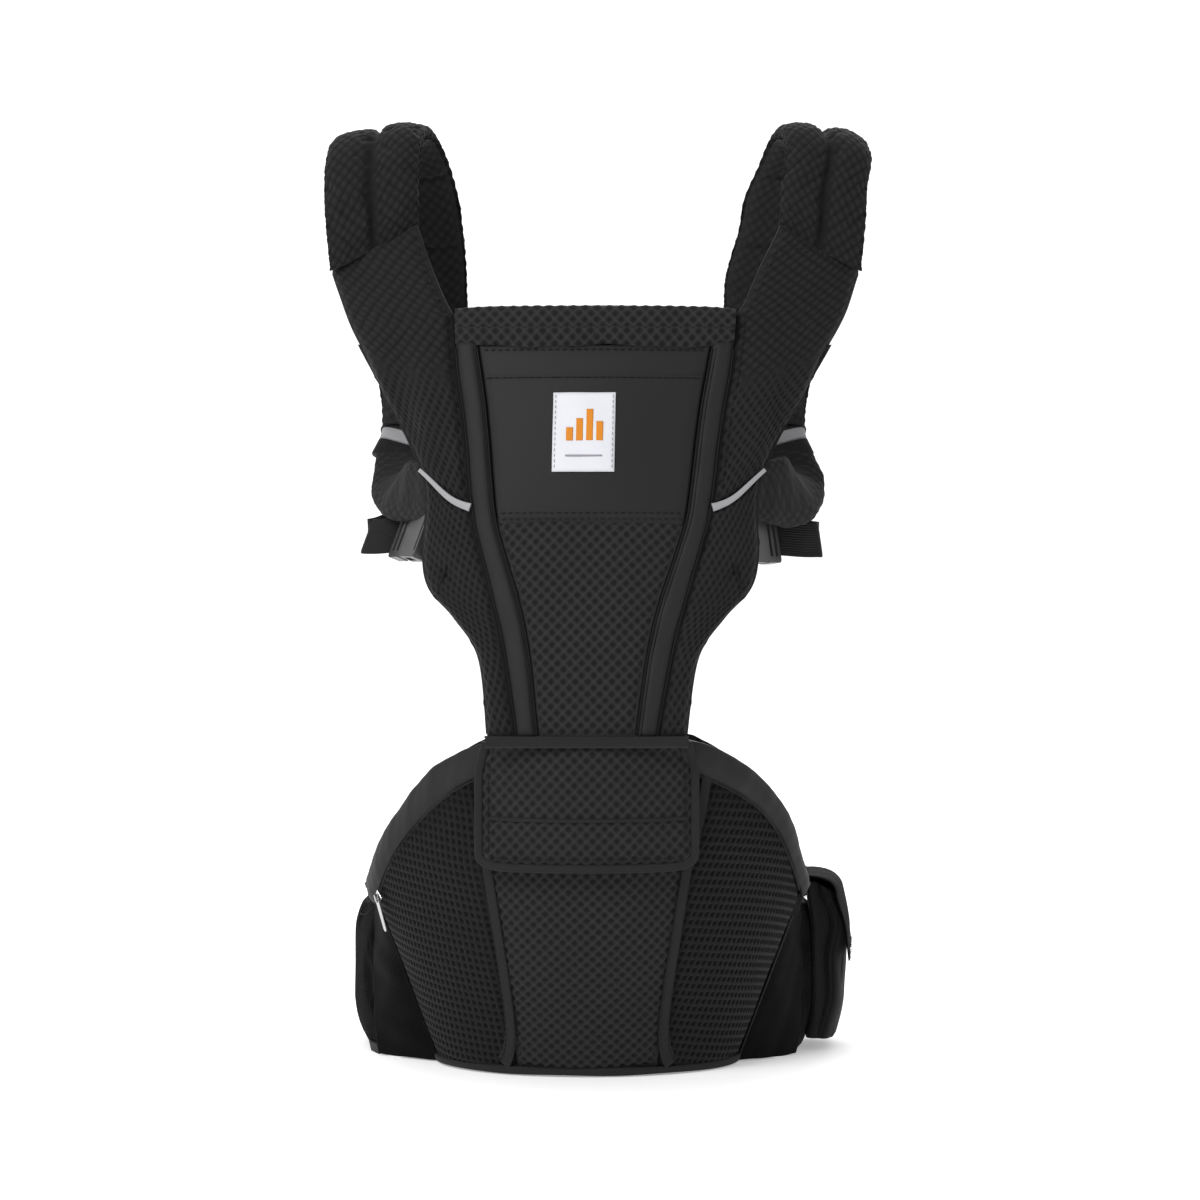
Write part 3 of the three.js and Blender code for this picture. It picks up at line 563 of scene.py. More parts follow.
def clothLook(name, colour, pitShade=0.35, roughness=0.85, sheen=0.12, threads=None, bump=0.25, cast=0.25,
              lint=0.1, thread=0.35, gloss=0.18):
    # Cloth: painted shade darkens its colour in the pits of the knit, along its seams and creases and between
    # threads; it also fades unevenly and catches lint.
    look = bpy.data.materials.new(name)
    look.use_nodes = True
    tree = look.node_tree
    shader = tree.nodes["Principled BSDF"]
    shader.inputs["Roughness"].default_value = roughness
    shader.inputs["Specular IOR Level"].default_value = gloss
    shader.inputs["Sheen Weight"].default_value = sheen
    shader.inputs["Sheen Roughness"].default_value = 0.55
    weave = groupNode(tree, threadsGroup, threads or plainThreads)
    fade = groupNode(tree, castGroup, {"Size": 28.0, "Amount": cast, "Lint": lint})
    paintedShade = tree.nodes.new("ShaderNodeAttribute")
    paintedShade.attribute_name = "paintedShade"
    # painted shade: the colour darkens where the mesh's shade attribute is low, down to the given share in the
    # deepest pits
    depth = mathNode(tree, "MULTIPLY_ADD", paintedShade.outputs["Fac"], 1 - pitShade, pitShade)
    shade = mathNode(tree, "MULTIPLY", depth, fade.outputs["Shade"])
    # painted shade between the threads: the colour follows the thread height
    fine = mathNode(tree, "MULTIPLY_ADD", weave.outputs["Height"], thread, 1 - thread / 2)
    tone = mathNode(tree, "MULTIPLY", shade, fine)
    grey = tree.nodes.new("ShaderNodeCombineColor")
    for socket in grey.inputs:
        tree.links.new(tone, socket)
    base = mixColour(tree, "MULTIPLY", 1.0, colour, grey.outputs[0])
    tree.links.new(mixColour(tree, "MIX", fade.outputs["Lint"], base, [min(1, c * 3 + 0.02) for c in colour]),
                   shader.inputs["Base Color"])
    bumpNode = tree.nodes.new("ShaderNodeBump")
    bumpNode.inputs["Strength"].default_value = bump
    bumpNode.inputs["Distance"].default_value = 0.0004
    tree.links.new(weave.outputs["Height"], bumpNode.inputs["Height"])
    tree.links.new(bumpNode.outputs[0], shader.inputs["Normal"])
    return look


def plasticLook(name, colour, roughness, metallic=0.0, grain=0.08, scratches=0.15):
    # Moulded plastic or plated metal: a fine grain in its gloss, and faint scuffs.
    look = bpy.data.materials.new(name)
    look.use_nodes = True
    tree = look.node_tree
    shader = tree.nodes["Principled BSDF"]
    shader.inputs["Metallic"].default_value = metallic
    place = tree.nodes.new("ShaderNodeTexCoord")
    noise = tree.nodes.new("ShaderNodeTexNoise")
    noise.inputs["Scale"].default_value = 900
    noise.inputs["Detail"].default_value = 2
    tree.links.new(place.outputs["Object"], noise.inputs["Vector"])
    scuffs = tree.nodes.new("ShaderNodeTexNoise")
    scuffs.inputs["Scale"].default_value = 60
    scuffs.inputs["Detail"].default_value = 6
    tree.links.new(place.outputs["Object"], scuffs.inputs["Vector"])
    tree.links.new(mathNode(tree, "MULTIPLY_ADD", scuffs.outputs[0], scratches, roughness - scratches / 2),
                   shader.inputs["Roughness"])
    tint = mathNode(tree, "MULTIPLY_ADD", scuffs.outputs[0], 0.5, 0.75)
    grey = tree.nodes.new("ShaderNodeCombineColor")
    for socket in grey.inputs:
        tree.links.new(tint, socket)
    tree.links.new(mixColour(tree, "MULTIPLY", 1.0, colour, grey.outputs[0]), shader.inputs["Base Color"])
    bumpNode = tree.nodes.new("ShaderNodeBump")
    bumpNode.inputs["Strength"].default_value = grain
    bumpNode.inputs["Distance"].default_value = 0.0002
    tree.links.new(noise.outputs[0], bumpNode.inputs["Height"])
    tree.links.new(bumpNode.outputs[0], shader.inputs["Normal"])
    return look


def floorLook():
    look = bpy.data.materials.new("floor")
    look.use_nodes = True
    shader = look.node_tree.nodes["Principled BSDF"]
    shader.inputs["Base Color"].default_value = (0.94, 0.94, 0.94, 1)
    shader.inputs["Roughness"].default_value = 0.9
    shader.inputs["Emission Color"].default_value = (1, 1, 1, 1)
    shader.inputs["Emission Strength"].default_value = 0.3
    return look


threadsGroup = makeThreadsGroup()
castGroup = makeCastGroup()
plainThreads = {"Across": 900.0, "Along": 900.0, "Slant": 0.0, "Crossing": 1.0}
twillThreads = {"Across": 1100.0, "Along": 0.0, "Slant": 0.9, "Crossing": 0.0}
ribThreads = {"Across": 620.0, "Along": 0.0, "Slant": 0.0, "Crossing": 0.0}
knitThreads = {"Across": 1000.0, "Along": 700.0, "Slant": 0.0, "Crossing": 0.8}
beltThreads = {"Across": 0.0, "Along": 620.0, "Slant": 0.0, "Crossing": 1.0}
looks = {
    "waffle": clothLook("waffle", (0.0225, 0.0225, 0.0230), pitShade=0.08, threads=knitThreads, sheen=0.03),
    "strapKnit": clothLook("strapKnit", (0.0110, 0.0110, 0.0113), pitShade=0.02, threads=knitThreads, sheen=0.03),
    "wingMesh": clothLook("wingMesh", (0.0115, 0.0115, 0.0119), pitShade=0.02, threads=knitThreads, sheen=0.03),
    "sideMesh": clothLook("sideMesh", (0.0060, 0.0060, 0.0062), pitShade=0.02, threads=knitThreads, sheen=0.022),
    "binding": clothLook("binding", (0.0125, 0.0125, 0.0128), pitShade=0.1, threads=knitThreads, sheen=0.03,
                         thread=0.7),
    "twill": clothLook("twill", (0.0113, 0.0113, 0.0116), pitShade=0.3, roughness=0.62, sheen=0.03,
                       threads=twillThreads, bump=0.15, cast=0.12, lint=0.05, thread=0.2),
    "ribKnit": clothLook("ribKnit", (0.0026, 0.0026, 0.0027), pitShade=0.3, threads=ribThreads, sheen=0.008,
                         bump=0.5, gloss=0.08),
    "pouchCloth": clothLook("pouchCloth", (0.0110, 0.0110, 0.0113), pitShade=0.3, threads=ribThreads, sheen=0.02,
                            bump=0.5),
    "lining": clothLook("lining", (0.0170, 0.0170, 0.0175), pitShade=0.25, threads=knitThreads, sheen=0.03),
    "webbing": clothLook("webbing", (0.0060, 0.0060, 0.0062), pitShade=0.4, roughness=0.6, threads=ribThreads,
                         sheen=0.015, bump=0.8, lint=0.0),
    "thread": clothLook("thread", (0.0030, 0.0030, 0.0031), pitShade=1.0, roughness=0.5, sheen=0.0, lint=0.0),
    "reflective": clothLook("reflective", (0.27, 0.27, 0.28), pitShade=0.6, roughness=0.42, sheen=0.0, lint=0.0,
                            bump=0.1, cast=0.1, thread=0.1),
    "satin": clothLook("satin", (0.58, 0.59, 0.62), pitShade=0.7, roughness=0.5, sheen=0.0, lint=0.0, bump=0.1,
                       cast=0.03, threads={"Across": 2200.0, "Along": 2200.0, "Slant": 0.0, "Crossing": 1.0},
                       thread=0.06),
    "labelWarm": clothLook("labelWarm", (0.55, 0.19, 0.015), pitShade=0.8, roughness=0.6, sheen=0.0, lint=0.0,
                           thread=0.1),
    "labelGrey": clothLook("labelGrey", (0.25, 0.24, 0.27), pitShade=0.8, roughness=0.6, sheen=0.0, lint=0.0,
                           thread=0.1),
    "acetal": plasticLook("acetal", (0.024, 0.024, 0.025), 0.38),
    "chrome": plasticLook("chrome", (0.42, 0.42, 0.43), 0.22, metallic=1.0, grain=0.02),
    "floor": floorLook(),
}
setStage()
print("stage and materials ready")


# The hip seat.

seat = {"baseHalf": 0.102, "rimHalf": 0.1495, "rimEnd": 0.120, "crown": 0.110, "back": 0.022, "low": 0.016,
        "sideDepth": 0.005, "baseDepth": 0.077, "bulge": 0.069, "lipHigh": 0.925, "lipDrop": 0.055,
        "backDrop": 0.0125}


def rimHeight(a):  # how high the seat's rim is at share a across
    return seat["rimEnd"] + seat["crown"] * np.maximum(1 - np.abs(a) ** 3.7, 0) ** 0.8


def seatPoint(a, h, out=0.0):  # on the seat's front: share a across, share h up, out in front of it
    depth = seat["baseDepth"] + seat["bulge"] * np.sin(1.1 * h * np.pi / 2)
    depth = seat["sideDepth"] + (depth - seat["sideDepth"]) * np.sqrt(np.maximum(1 - a * a, 0))
    half = lerp(seat["baseHalf"], seat["rimHalf"], h)
    y = seat["back"] - depth - out * (1 - 0.6 * a * a)
    return np.stack([a * (half + out * a * a), y, h * rimHeight(a)], -1)


def lipAt(a):
    return seat["lipHigh"] - seat["lipDrop"] * a * a + 0.045 * ease((a - 0.55) / 0.45)


def centreShare(h):
    return lerp(0.46, 0.53, h)


def seatSlump(p, q):  # the covers sag a little, unevenly
    return 0.0009 * ripple(p, q, 0.07, 3)


def seatCentre(u, v):
    h = lerp(seat["low"], 0.985, v)
    return seatPoint(lerp(-1, 1, u) * (centreShare(h) - 0.003), h)


def seatSide(side):
    def surface(u, v):
        a = np.sin(lerp(np.arcsin(centreShare(0.5) + 0.003), np.arcsin(0.995), u))
        # the inner edge follows the centre panel's slanting seam
        a = a + (1 - u) * (centreShare(lerp(seat["low"], 0.9, v)) - centreShare(0.5))
        h = lerp(seat["low"], lipAt(a) + 0.012, v)
        return seatPoint(side * a, h)
    return surface


def underLip(u, v):  # the lip shades the mesh below it
    return 1 - 0.75 * np.exp(-((1 - v) / 0.10) ** 1.5)


def makeSeat():
    crown = lambda u, v, p, q: seatSlump(p, q) + 0.0012 * np.sin(np.pi * u)
    sheetPiece("seatFrontCover", seatCentre, 0.00098, "waffle", "hip_seat", ["seat_front_cover"], diamondKnit,
               depth=0.0012, roll=0.0016, crown=crown)
    for name, side in (("left", -1), ("right", 1)):
        sheetPiece("seatSideCover_" + name, seatSide(side), 0.00082, "sideMesh", "hip_seat",
                   ["seat_side_cover_" + name], squareMesh, depth=0.0011, roll=0.0016, crown=crown,
                   towards=(side * 0.5, -1, 0), turn=side * 0.12, shade=underLip)
        h = np.linspace(0.035, 0.93, 160)
        flare = 0.010 * np.exp(-((h - 0.035) / 0.06))
        half = lerp(seat["baseHalf"], seat["rimHalf"], h)
        path = seatPoint(side * (centreShare(h) + (flare - 0.002) / half), h)
        normals = unit(np.stack([side * 0.35 + 0 * h, -1 + 0 * h, 0 * h], -1))
        ribbon("seatSeam_" + name, path, normals, 0.0068 + flare * 0.4, 0.0013, "binding", "hip_seat",
               offset=0.0004, around=24)
        rows = []
        for shift in (-0.0029, 0.0029):
            row = seatPoint(side * (centreShare(h) + (flare - 0.002) / half) + shift / half, h)
            rows.append((row + normals * 0.0012, normals))
        stitches("seatSeamStitches_" + name, rows, "hip_seat", length=0.0034, space=0.0010)

    # the smooth top cover: a folded lip in front, then over the rim and back
    def cap(u, v):
        a = np.sin(lerp(-1, 1, u) * np.arcsin(0.996))
        fore, aft = np.clip(v / 0.3, 0, 1), np.clip((v - 0.3) / 0.7, 0, 1)
        front = seatPoint(a, lerp(lipAt(a), 1.0, fore), 0.0030 - 0.0008 * fore)
        back = front + 0
        back[..., 1] = seat["back"] - 0.001
        over = lerp(front, back, aft[..., None])
        over[..., 2] += 0.0015 * np.sin(np.pi * aft) * (1 - a * a) - seat["backDrop"] * aft
        return over

    def stuffed(u, v, p, q):
        fold = 0.0022 * np.sin(np.pi * np.clip(v / 0.3, 0, 1)) ** 0.7
        return fold + 0.0008 * ripple(p, q, 0.05, 8) + 0.0004 * ripple(p, q, 0.02, 9)
    sheetPiece("seatTopCover", cap, 0.0022, "twill", "hip_seat", ["seat_top_cover"], roll=0.0012, crown=stuffed,
               thick=0.0016, towards=(0, -1, 1))

    # zip tape with its coil under the lip
    def tape(u, v):
        a = lerp(-0.985, 0.985, u)
        return seatPoint(a, lipAt(a) - lerp(0.010, -0.030, v), 0.0012)
    coil = lambda p, q: 0.5 + 0.5 * np.sin(2 * np.pi * p / 0.0022) * (q > 0.0045)
    sheetPiece("zipTape", tape, 0.0011, "webbing", "hip_seat", ["zip_tape"], coil, depth=0.0006, thick=0.0008)

    # the base, its binding and the pad behind
    def base(u, v):
        a = np.sin(lerp(-1, 1, u) * np.pi / 2 * 0.999)
        front = seatPoint(a, 0 * a + 0.02, -0.0004)
        back = front + 0
        back[..., 1] = seat["back"]
        floor = lerp(front, back, v[..., None])
        floor[..., 2] = 0.0008
        return floor
    sheetPiece("seatBase", base, 0.003, "lining", "hip_seat", ["seat_base_cover", "seat_foam_core"],
               towards=(0, 0, -1), thick=0.0016)
    a = np.sin(np.linspace(-1, 1, 240) * np.pi / 2 * 0.985)
    hem = seatPoint(a, 0 * a + 0.016, 0.0012)
    hem[:, 2] = 0.0031
    normals = unit(np.stack([a, -np.sqrt(1 - a * a) - 0.1, -0.25 + 0 * a], -1))
    ribbon("seatHem", hem, normals, 0.0050 + 0.0006 * np.sin(a * 9), 0.0028, "binding", "hip_seat",
           offset=-0.0002)
    stitches("seatHemStitches", [(hem + np.array([0, 0, 0.0042]) + normals * 0.0004, normals)], "hip_seat")
    def rear(u, v):
        a, h = np.sin(lerp(-1, 1, u) * np.arcsin(0.996)), lerp(0.012, 1.0, v)
        x = a * lerp(seat["baseHalf"], seat["rimHalf"], h)
        return np.stack([x, seat["back"] - 0.0008 + 0 * x, h * rimHeight(a) - seat["backDrop"] * h], -1)
    sheetPiece("seatRear", rear, 0.0035, "lining", "hip_seat", towards=(0, 1, 0), thick=0.0012)
    a = np.sin(np.linspace(-1, 1, 260) * np.arcsin(0.996))
    rim = np.stack([a * seat["rimHalf"], seat["back"] - 0.0002 + 0 * a, rimHeight(a) - 0.0117], -1)
    ribbon("seatRearPiping", rim, np.array([0, 1.0, 0]), 0.0056, 0.0050, "twill", "hip_seat", around=16)
    angle = np.linspace(0, 1, 72, endpoint=False) * 2 * np.pi
    v = np.linspace(0.0, 1.0, 60)[None]
    side = squarer(np.cos(angle), 0.35)
    deep = squarer(np.sin(angle), 0.7)
    x = side[:, None] * lerp(0.130, 0.141, v)
    z = v * (rimHeight(np.clip(side[:, None], -1, 1)) - 0.003) + 0.001
    ends = np.sin(np.pi * np.clip(v, 0.012, 0.988)) ** 0.3
    tufts = 0.0016 * np.cos(2 * np.pi * x / 0.047) * np.sin(np.pi * v)
    y = 0.0284 + deep[:, None] * (0.0058 * ends + tufts * (deep[:, None] > 0))
    loops = np.stack([x + 0 * y, y, z + 0 * y], -1)
    pad = loftPiece("seatBackPad", refine(refine(loops, 260, 0, True), 170, 1, False), "lining", "hip_seat",
                    ["belt_front_pad"], scaleKnit, depth=0.0006)


makeSeat()
print("seat ready")


# The front panel.

panel = {"low": 0.229, "high": 0.510, "lowY": -0.131, "highY": -0.084, "hem": 0.2292, "centreTop": 0.3710,
         "pocketLow": 0.3662, "pocketHigh": 0.4836, "neckHeight": 0.4962, "neckHalf": 0.0886}
milli = 0.001
panelEdge = through([(0.229, 0.065), (0.279, 0.0715), (0.305, 0.088), (0.324, 0.105), (0.345, 0.110),
                     (0.376, 0.109), (0.402, 0.113), (0.459, 0.141), (0.503, 0.159), (0.535, 0.170)])
stripeOuter = through([(0.229, 0.0455), (0.283, 0.0546), (0.318, 0.063), (0.350, 0.0718), (0.375, 0.0778),
                       (0.425, 0.0835), (0.461, 0.0883), (0.484, 0.089)])
stripeInner = through([(0.229, 0.0312), (0.283, 0.038), (0.318, 0.0458), (0.348, 0.0555), (0.375, 0.0625),
                       (0.425, 0.068), (0.461, 0.0723), (0.484, 0.0746)])


def panelPoint(x, z, out=0.0):
    t = (z - panel["low"]) / (panel["high"] - panel["low"])
    curl = x * x * lerp(2.3, 1.4, np.clip(t, 0, 1))
    y = lerp(panel["lowY"], panel["highY"], 0.5 * t + 0.5 * t * np.abs(t)) + curl
    return np.stack([x + 0 * y, y - out, z + 0 * y], -1)


def panelNormals(path):  # straight out of the panel, which leans forward and curls back at its sides
    x, z = path[:, 0], path[:, 2]
    step = 0.001
    du = panelPoint(x + step, z) - panelPoint(x - step, z)
    dv = panelPoint(x, z + step) - panelPoint(x, z - step)
    return unit(np.cross(du, dv))


def pipingHeight(share):
    return lerp(0.377, 0.4025, share) - 0.005 * np.sin(np.pi * share)


def panelLine(xs, zs, count=120, out=0.0):  # a line on the panel through given corners
    table = evenly(np.stack([np.asarray(xs, float), np.asarray(zs, float)], -1), count)
    path = panelPoint(table[:, 0], table[:, 1])
    normals = panelNormals(path)
    return path + normals * out, normals


def pocketPoint(u, v):
    z = lerp(panel["pocketLow"], panel["pocketHigh"], v)
    x = lerp(-1, 1, u) * (stripeInner(z) - 0.001)
    bulge = 0.0006 + 0.0046 * (np.sin(np.pi * u) * np.sin(np.pi * np.clip(v, 0, 0.93) / 0.93)) ** 0.8
    return panelPoint(x, z, bulge + 0.0006 * ripple(x, z, 0.06, 21) * np.sin(np.pi * u) * np.sin(np.pi * v))


def wingInner(z):  # the wing's inner edge: along the stripe and the neck roll, then out to the strap
    spread = np.clip((z - 0.505) / 0.055, 0, None) ** 0.8
    return np.where(z < 0.484, stripeOuter(z), lerp(0.089, 0.112, spread))


def wingPoint(side, u, v, out=0.0):
    low = pipingHeight(u) + 0.0006
    high = lerp(0.5665, 0.5420, u)
    z = lerp(low, high, v)
    inner = wingInner(z)
    x = lerp(inner + 0.0006, panelEdge(np.minimum(z, 0.535)), u)
    return panelPoint(side * x, z, out)


def makePanel():
    def root(u, v):
        x = lerp(-0.0650, 0.0650, u)
        rim = seatPoint(x / seat["rimHalf"], 1.0 + 0 * u, 0.001)
        return lerp(rim, panelPoint(x, 0.2300, -0.002), v[..., None])
    sheetPiece("panelRoot", root, 0.002, "twill",
               ("hip_seat", "panel", (0, -0.1205, 0.2316), (0, -0.1325, 0.2300)), towards=(0, 0, 1),
               thick=0.0030)
    sag = lambda u, v, p, q: 0.0007 * ripple(p, q, 0.08, 5) + 0.0012 * np.sin(np.pi * u)
    def centre(u, v):
        z = lerp(panel["hem"], panel["centreTop"], v)
        return panelPoint(lerp(-1, 1, u) * (stripeInner(z) - 0.0002), z)
    sheetPiece("panelCentre", centre, 0.00105, "waffle", "panel", ["panel_centre"], diamondKnit, depth=0.0008,
               roll=0.0016, crown=sag)
    for name, side in (("left", -1), ("right", 1)):
        def stripe(u, v):
            z = lerp(panel["hem"], 0.4872, v)
            return panelPoint(side * lerp(stripeInner(z) + 0.0002, stripeOuter(z) - 0.0002, u), z)
        puff = lambda u, v, p, q: 0.0016 * np.sin(np.pi * u) ** 0.6 + 0.0004 * ripple(p, q, 0.03, 6)
        sheetPiece("panelStripe_" + name, stripe, 0.0018, "twill", "panel", ["panel_stripe_" + name],
                   roll=0.0018, rollWidth=0.0025, crown=puff)
        z = np.linspace(0.231, 0.482, 300)
        lines = {"Inner": stripeInner(z) + 0.0030, "Outer": stripeOuter(z) - 0.0006,
                 "Edge": stripeInner(z) + 0.0004}
        for label, x in lines.items():
            path = panelPoint(side * x, z)
            normals = panelNormals(path)
            ribbon("stripeSeam%s_%s" % (label, name), path, normals, 0.0009, 0.0007, "thread", "panel",
                   offset=0.0008 if label == "Inner" else 0.0001, around=8)

        # lower side wing, with a dart where it is gathered
        def lower(u, v):
            z = lerp(panel["hem"], pipingHeight(u) - 0.0006, v)
            x = lerp(stripeOuter(z) + 0.0004, panelEdge(z), u)
            return panelPoint(side * x, z)

        def gather(u, v, p, q):
            dart = np.exp(-((u - 0.62) / 0.16) ** 2 - ((v - 0.66) / 0.035) ** 2)
            fold = np.exp(-((u - 0.55) / 0.3) ** 2 - ((v - 0.79) / 0.05) ** 2)
            shape = 0.0022 * np.sin(np.pi * u) ** 0.6 - 0.0028 * dart + 0.0018 * fold
            return shape + 0.0009 * ripple(p, q, 0.05, 31)
        sheetPiece("lowerWing_" + name, lower, 0.00105, "wingMesh", "panel", ["side_wing_lower_" + name],
                   ovalKnit, depth=0.0010, thick=0.0046, roll=0.0030, rollWidth=0.0035, crown=gather,
                   towards=(side * 0.3, -1, 0), turn=side * -0.12)

        dart, normals = panelLine([side * 0.0905, side * 0.0935, side * 0.0985], [0.350, 0.338, 0.322], 40)
        ribbon("wingDart_" + name, dart, normals, 0.0011, 0.0008, "thread", "panel", offset=0.0016, around=8)

        # upper side wing: scales near the strap turn into ovals lower down
        def scalesThenOvals(p, q):
            t = ease((q - 0.070) / 0.03)
            return lerp(ovalKnit(p, q), scaleKnit(p, q), t)

        def folds(u, v, p, q):
            pull = 0.0030 * np.sin(2 * np.pi * (p / 0.034 + 1.3 * v)) * np.exp(-((v - 0.30) / 0.28) ** 2) * u
            return 0.0046 * (np.sin(np.pi * u) ** 0.6) * np.sin(np.pi * np.clip(v, 0, 1)) ** 0.3 + pull \
                + 0.0012 * ripple(p, q, 0.06, 41 + side)
        sheetPiece("upperWing_" + name, lambda u, v: wingPoint(side, u, v), 0.00112, "wingMesh", "panel",
                   ["side_wing_upper_" + name], scalesThenOvals, depth=0.0010, thick=0.0052, roll=0.0034,
                   rollWidth=0.0040, crown=folds, towards=(side * 0.3, -1, 0), turn=side * -0.10)

        # reflective piping between the two wings, and the line of stitching above it
        share = np.linspace(0.01, 0.985, 160)
        z = pipingHeight(share)
        path = panelPoint(side * lerp(stripeOuter(z), panelEdge(z), share), z)
        normals = panelNormals(path)
        ribbon("reflectivePiping_" + name, path, normals, lerp(0.0056, 0.0026, share ** 0.8), 0.0024,
               "reflective", "panel", ["reflective_piping_" + name], offset=0.0009)
        up = np.array([0, 0, 0.0044])
        stitches("pipingStitches_" + name, [(path + up + normals * 0.0012, normals)], "panel")
        z = np.linspace(0.388, 0.552, 160)
        path = panelPoint(side * (wingInner(z) + 0.0045), z)
        stitches("wingStitches_" + name, [(path + panelNormals(path) * 0.0012, panelNormals(path))], "panel")

    # neck roll: a soft tube with a slightly wavy lower edge
    nu, nv = 150, 240
    angle = ringOf(nu)
    x = np.linspace(-1, 1, nv)[None] * panel["neckHalf"]
    wave = 0.0013 * np.sin(x * 75 + 1) + 0.0005 * np.sin(x * 180)
    half = np.where(np.sin(angle) < 0, 0.0143 - wave, 0.0141)
    z = panel["neckHeight"] + np.sin(angle) * half * (1 - 0.12 * (x / panel["neckHalf"]) ** 8)
    front = squarer(np.cos(angle), 0.55)
    loops = panelPoint(x, z, -0.0034 + front * 0.0068 + 0.0008 * ripple(x, z, 0.03, 51))
    roll = loftPiece("neckRoll", loops, "waffle", "panel", ["neck_roll"],
                     lambda p, q: diamondKnit(p, q, 0.0086, 0.0076), depth=0.0008)
    path, normals = panelLine([-0.072, 0.072], [0.4805, 0.4805], out=0.0008)
    stitches("neckStitches", [(path, normals)], "panel")

    # the pocket that holds the rolled sun hood
    sheetPiece("pocketFront", pocketPoint, 0.0016, "twill", "panel", ["pocket_front", "folded_sun_hood"],
               roll=0.0012, thick=0.0014)
    share = np.linspace(0.01, 0.99, 200)
    hemLine = pocketPoint(share, 0 * share + 0.815)
    bottomLines = [pocketPoint(share, 0 * share + at) for at in (0.028, 0.062)]
    rows = [(line + panelNormals(line) * 0.0003, panelNormals(line)) for line in [hemLine, *bottomLines]]
    stitches("pocketStitches", rows, "panel", radius=0.0003)
    ribbon("pocketHem", hemLine + np.array([0, -0.0001, 0.0008]), panelNormals(hemLine), 0.0012, 0.0008,
           "twill", "panel")

    # woven label with a plain mark
    def labelAt(x, z, out):
        u = (x / (stripeInner(z) - 0.001) + 1) / 2
        v = (z - panel["pocketLow"]) / (panel["pocketHigh"] - panel["pocketLow"])
        return pocketPoint(u, v) - np.array([0, out, 0])
    box = {"left": -0.0261, "right": 0.0144, "low": 0.4002, "high": 0.4520}
    label = lambda u, v: labelAt(lerp(box["left"], box["right"], u), lerp(box["low"], box["high"], v), 0.0012)
    sheetPiece("wovenLabel", label, 0.0008, "satin", "panel", ["woven_label"], roll=0.0003, rollWidth=0.0012,
               thick=0.0008, crown=lambda u, v, p, q: 0.0002 * np.sin(9 * u + 5 * v))
    rows = []
    for x in (box["left"] + 0.0016, box["right"] - 0.0016):
        z = np.linspace(box["low"] + 0.001, box["high"] - 0.001, 60)
        rows.append((labelAt(x + 0 * z, z, 0.0015), np.array([0, -1.0, 0.2])))
    stitches("labelStitches", rows, "panel", length=0.0022, space=0.0014, radius=0.00022, look="labelGrey")
    marks = [(-0.0151, 0.4205, 0.4290), (-0.0086, 0.4205, 0.4350), (-0.0021, 0.4205, 0.4410),
             (0.0044, 0.4205, 0.4330)]
    for i, (x, low, high) in enumerate(marks):
        bar = lambda u, v: labelAt(lerp(x - 0.0022, x + 0.0022, u), lerp(low, high, v), 0.00145)
        sheetPiece("labelMark_%d" % i, bar, 0.0011, "labelWarm", "panel", thick=0.0004, sides=(0, 0, 0, 0))
    line = lambda u, v: labelAt(lerp(-0.0176, 0.0064, u), lerp(0.4100, 0.4112, v), 0.00145)
    sheetPiece("labelLine", line, 0.0011, "labelGrey", "panel", thick=0.0004, sides=(0, 0, 0, 0))

    # the lining behind, quilted in wide rows
    def back(u, v):
        z = lerp(0.231, 0.4860, v)
        return panelPoint(lerp(-1, 1, u) * (panelEdge(z) - 0.0008), z, -0.0060)
    quilt = lambda u, v, p, q: (0.0030 * np.sin(np.pi * u) ** 0.5 * np.sin(np.pi * v) ** 0.3
                                - 0.0014 * np.exp(-((q / 0.040 % 1 - 0.5) / 0.05) ** 2))
    sheetPiece("panelLining", back, 0.0016, "lining", "panel", ["panel_lining", "panel_foam"], scaleKnit,
               depth=0.0005, roll=0.0022, crown=quilt, towards=(0, 1, 0), thick=0.0012)


makePanel()
print("panel ready")


# Shoulder straps.

strap = {"front": 0.0085, "back": 0.0063, "groove": 0.0060}
strapKnots = [(-141, -44, 549), (-143, -42, 590), (-142, -26, 617), (-137, 2, 626), (-127, 28, 606),
              (-119, 38, 560), (-117, 38, 510), (-117, 37, 466), (-121, 25, 434)]


def carried(knots, count, rollOf, side, square=True):
    # A path with its sideways and outward directions, mirrored by side.
    path = route(np.array(knots) * milli, count)
    t = np.linspace(0, 1, count)
    tangents = unit(np.gradient(path, axis=0))
    across = rollOf(t)
    if square:
        across = unit(across - tangents * (across * tangents).sum(-1, keepdims=True))
    out = unit(np.cross(tangents, across))
    mirror = np.array([side * -1, 1, 1])
    return path * mirror, across * mirror, out * mirror, t


def strapRoll(t):
    angle = through([(0, 0.43), (0.3, 0.16), (0.55, 0), (1, 0)])(t)
    return np.stack([np.cos(angle), 0 * t, np.sin(angle)], -1)


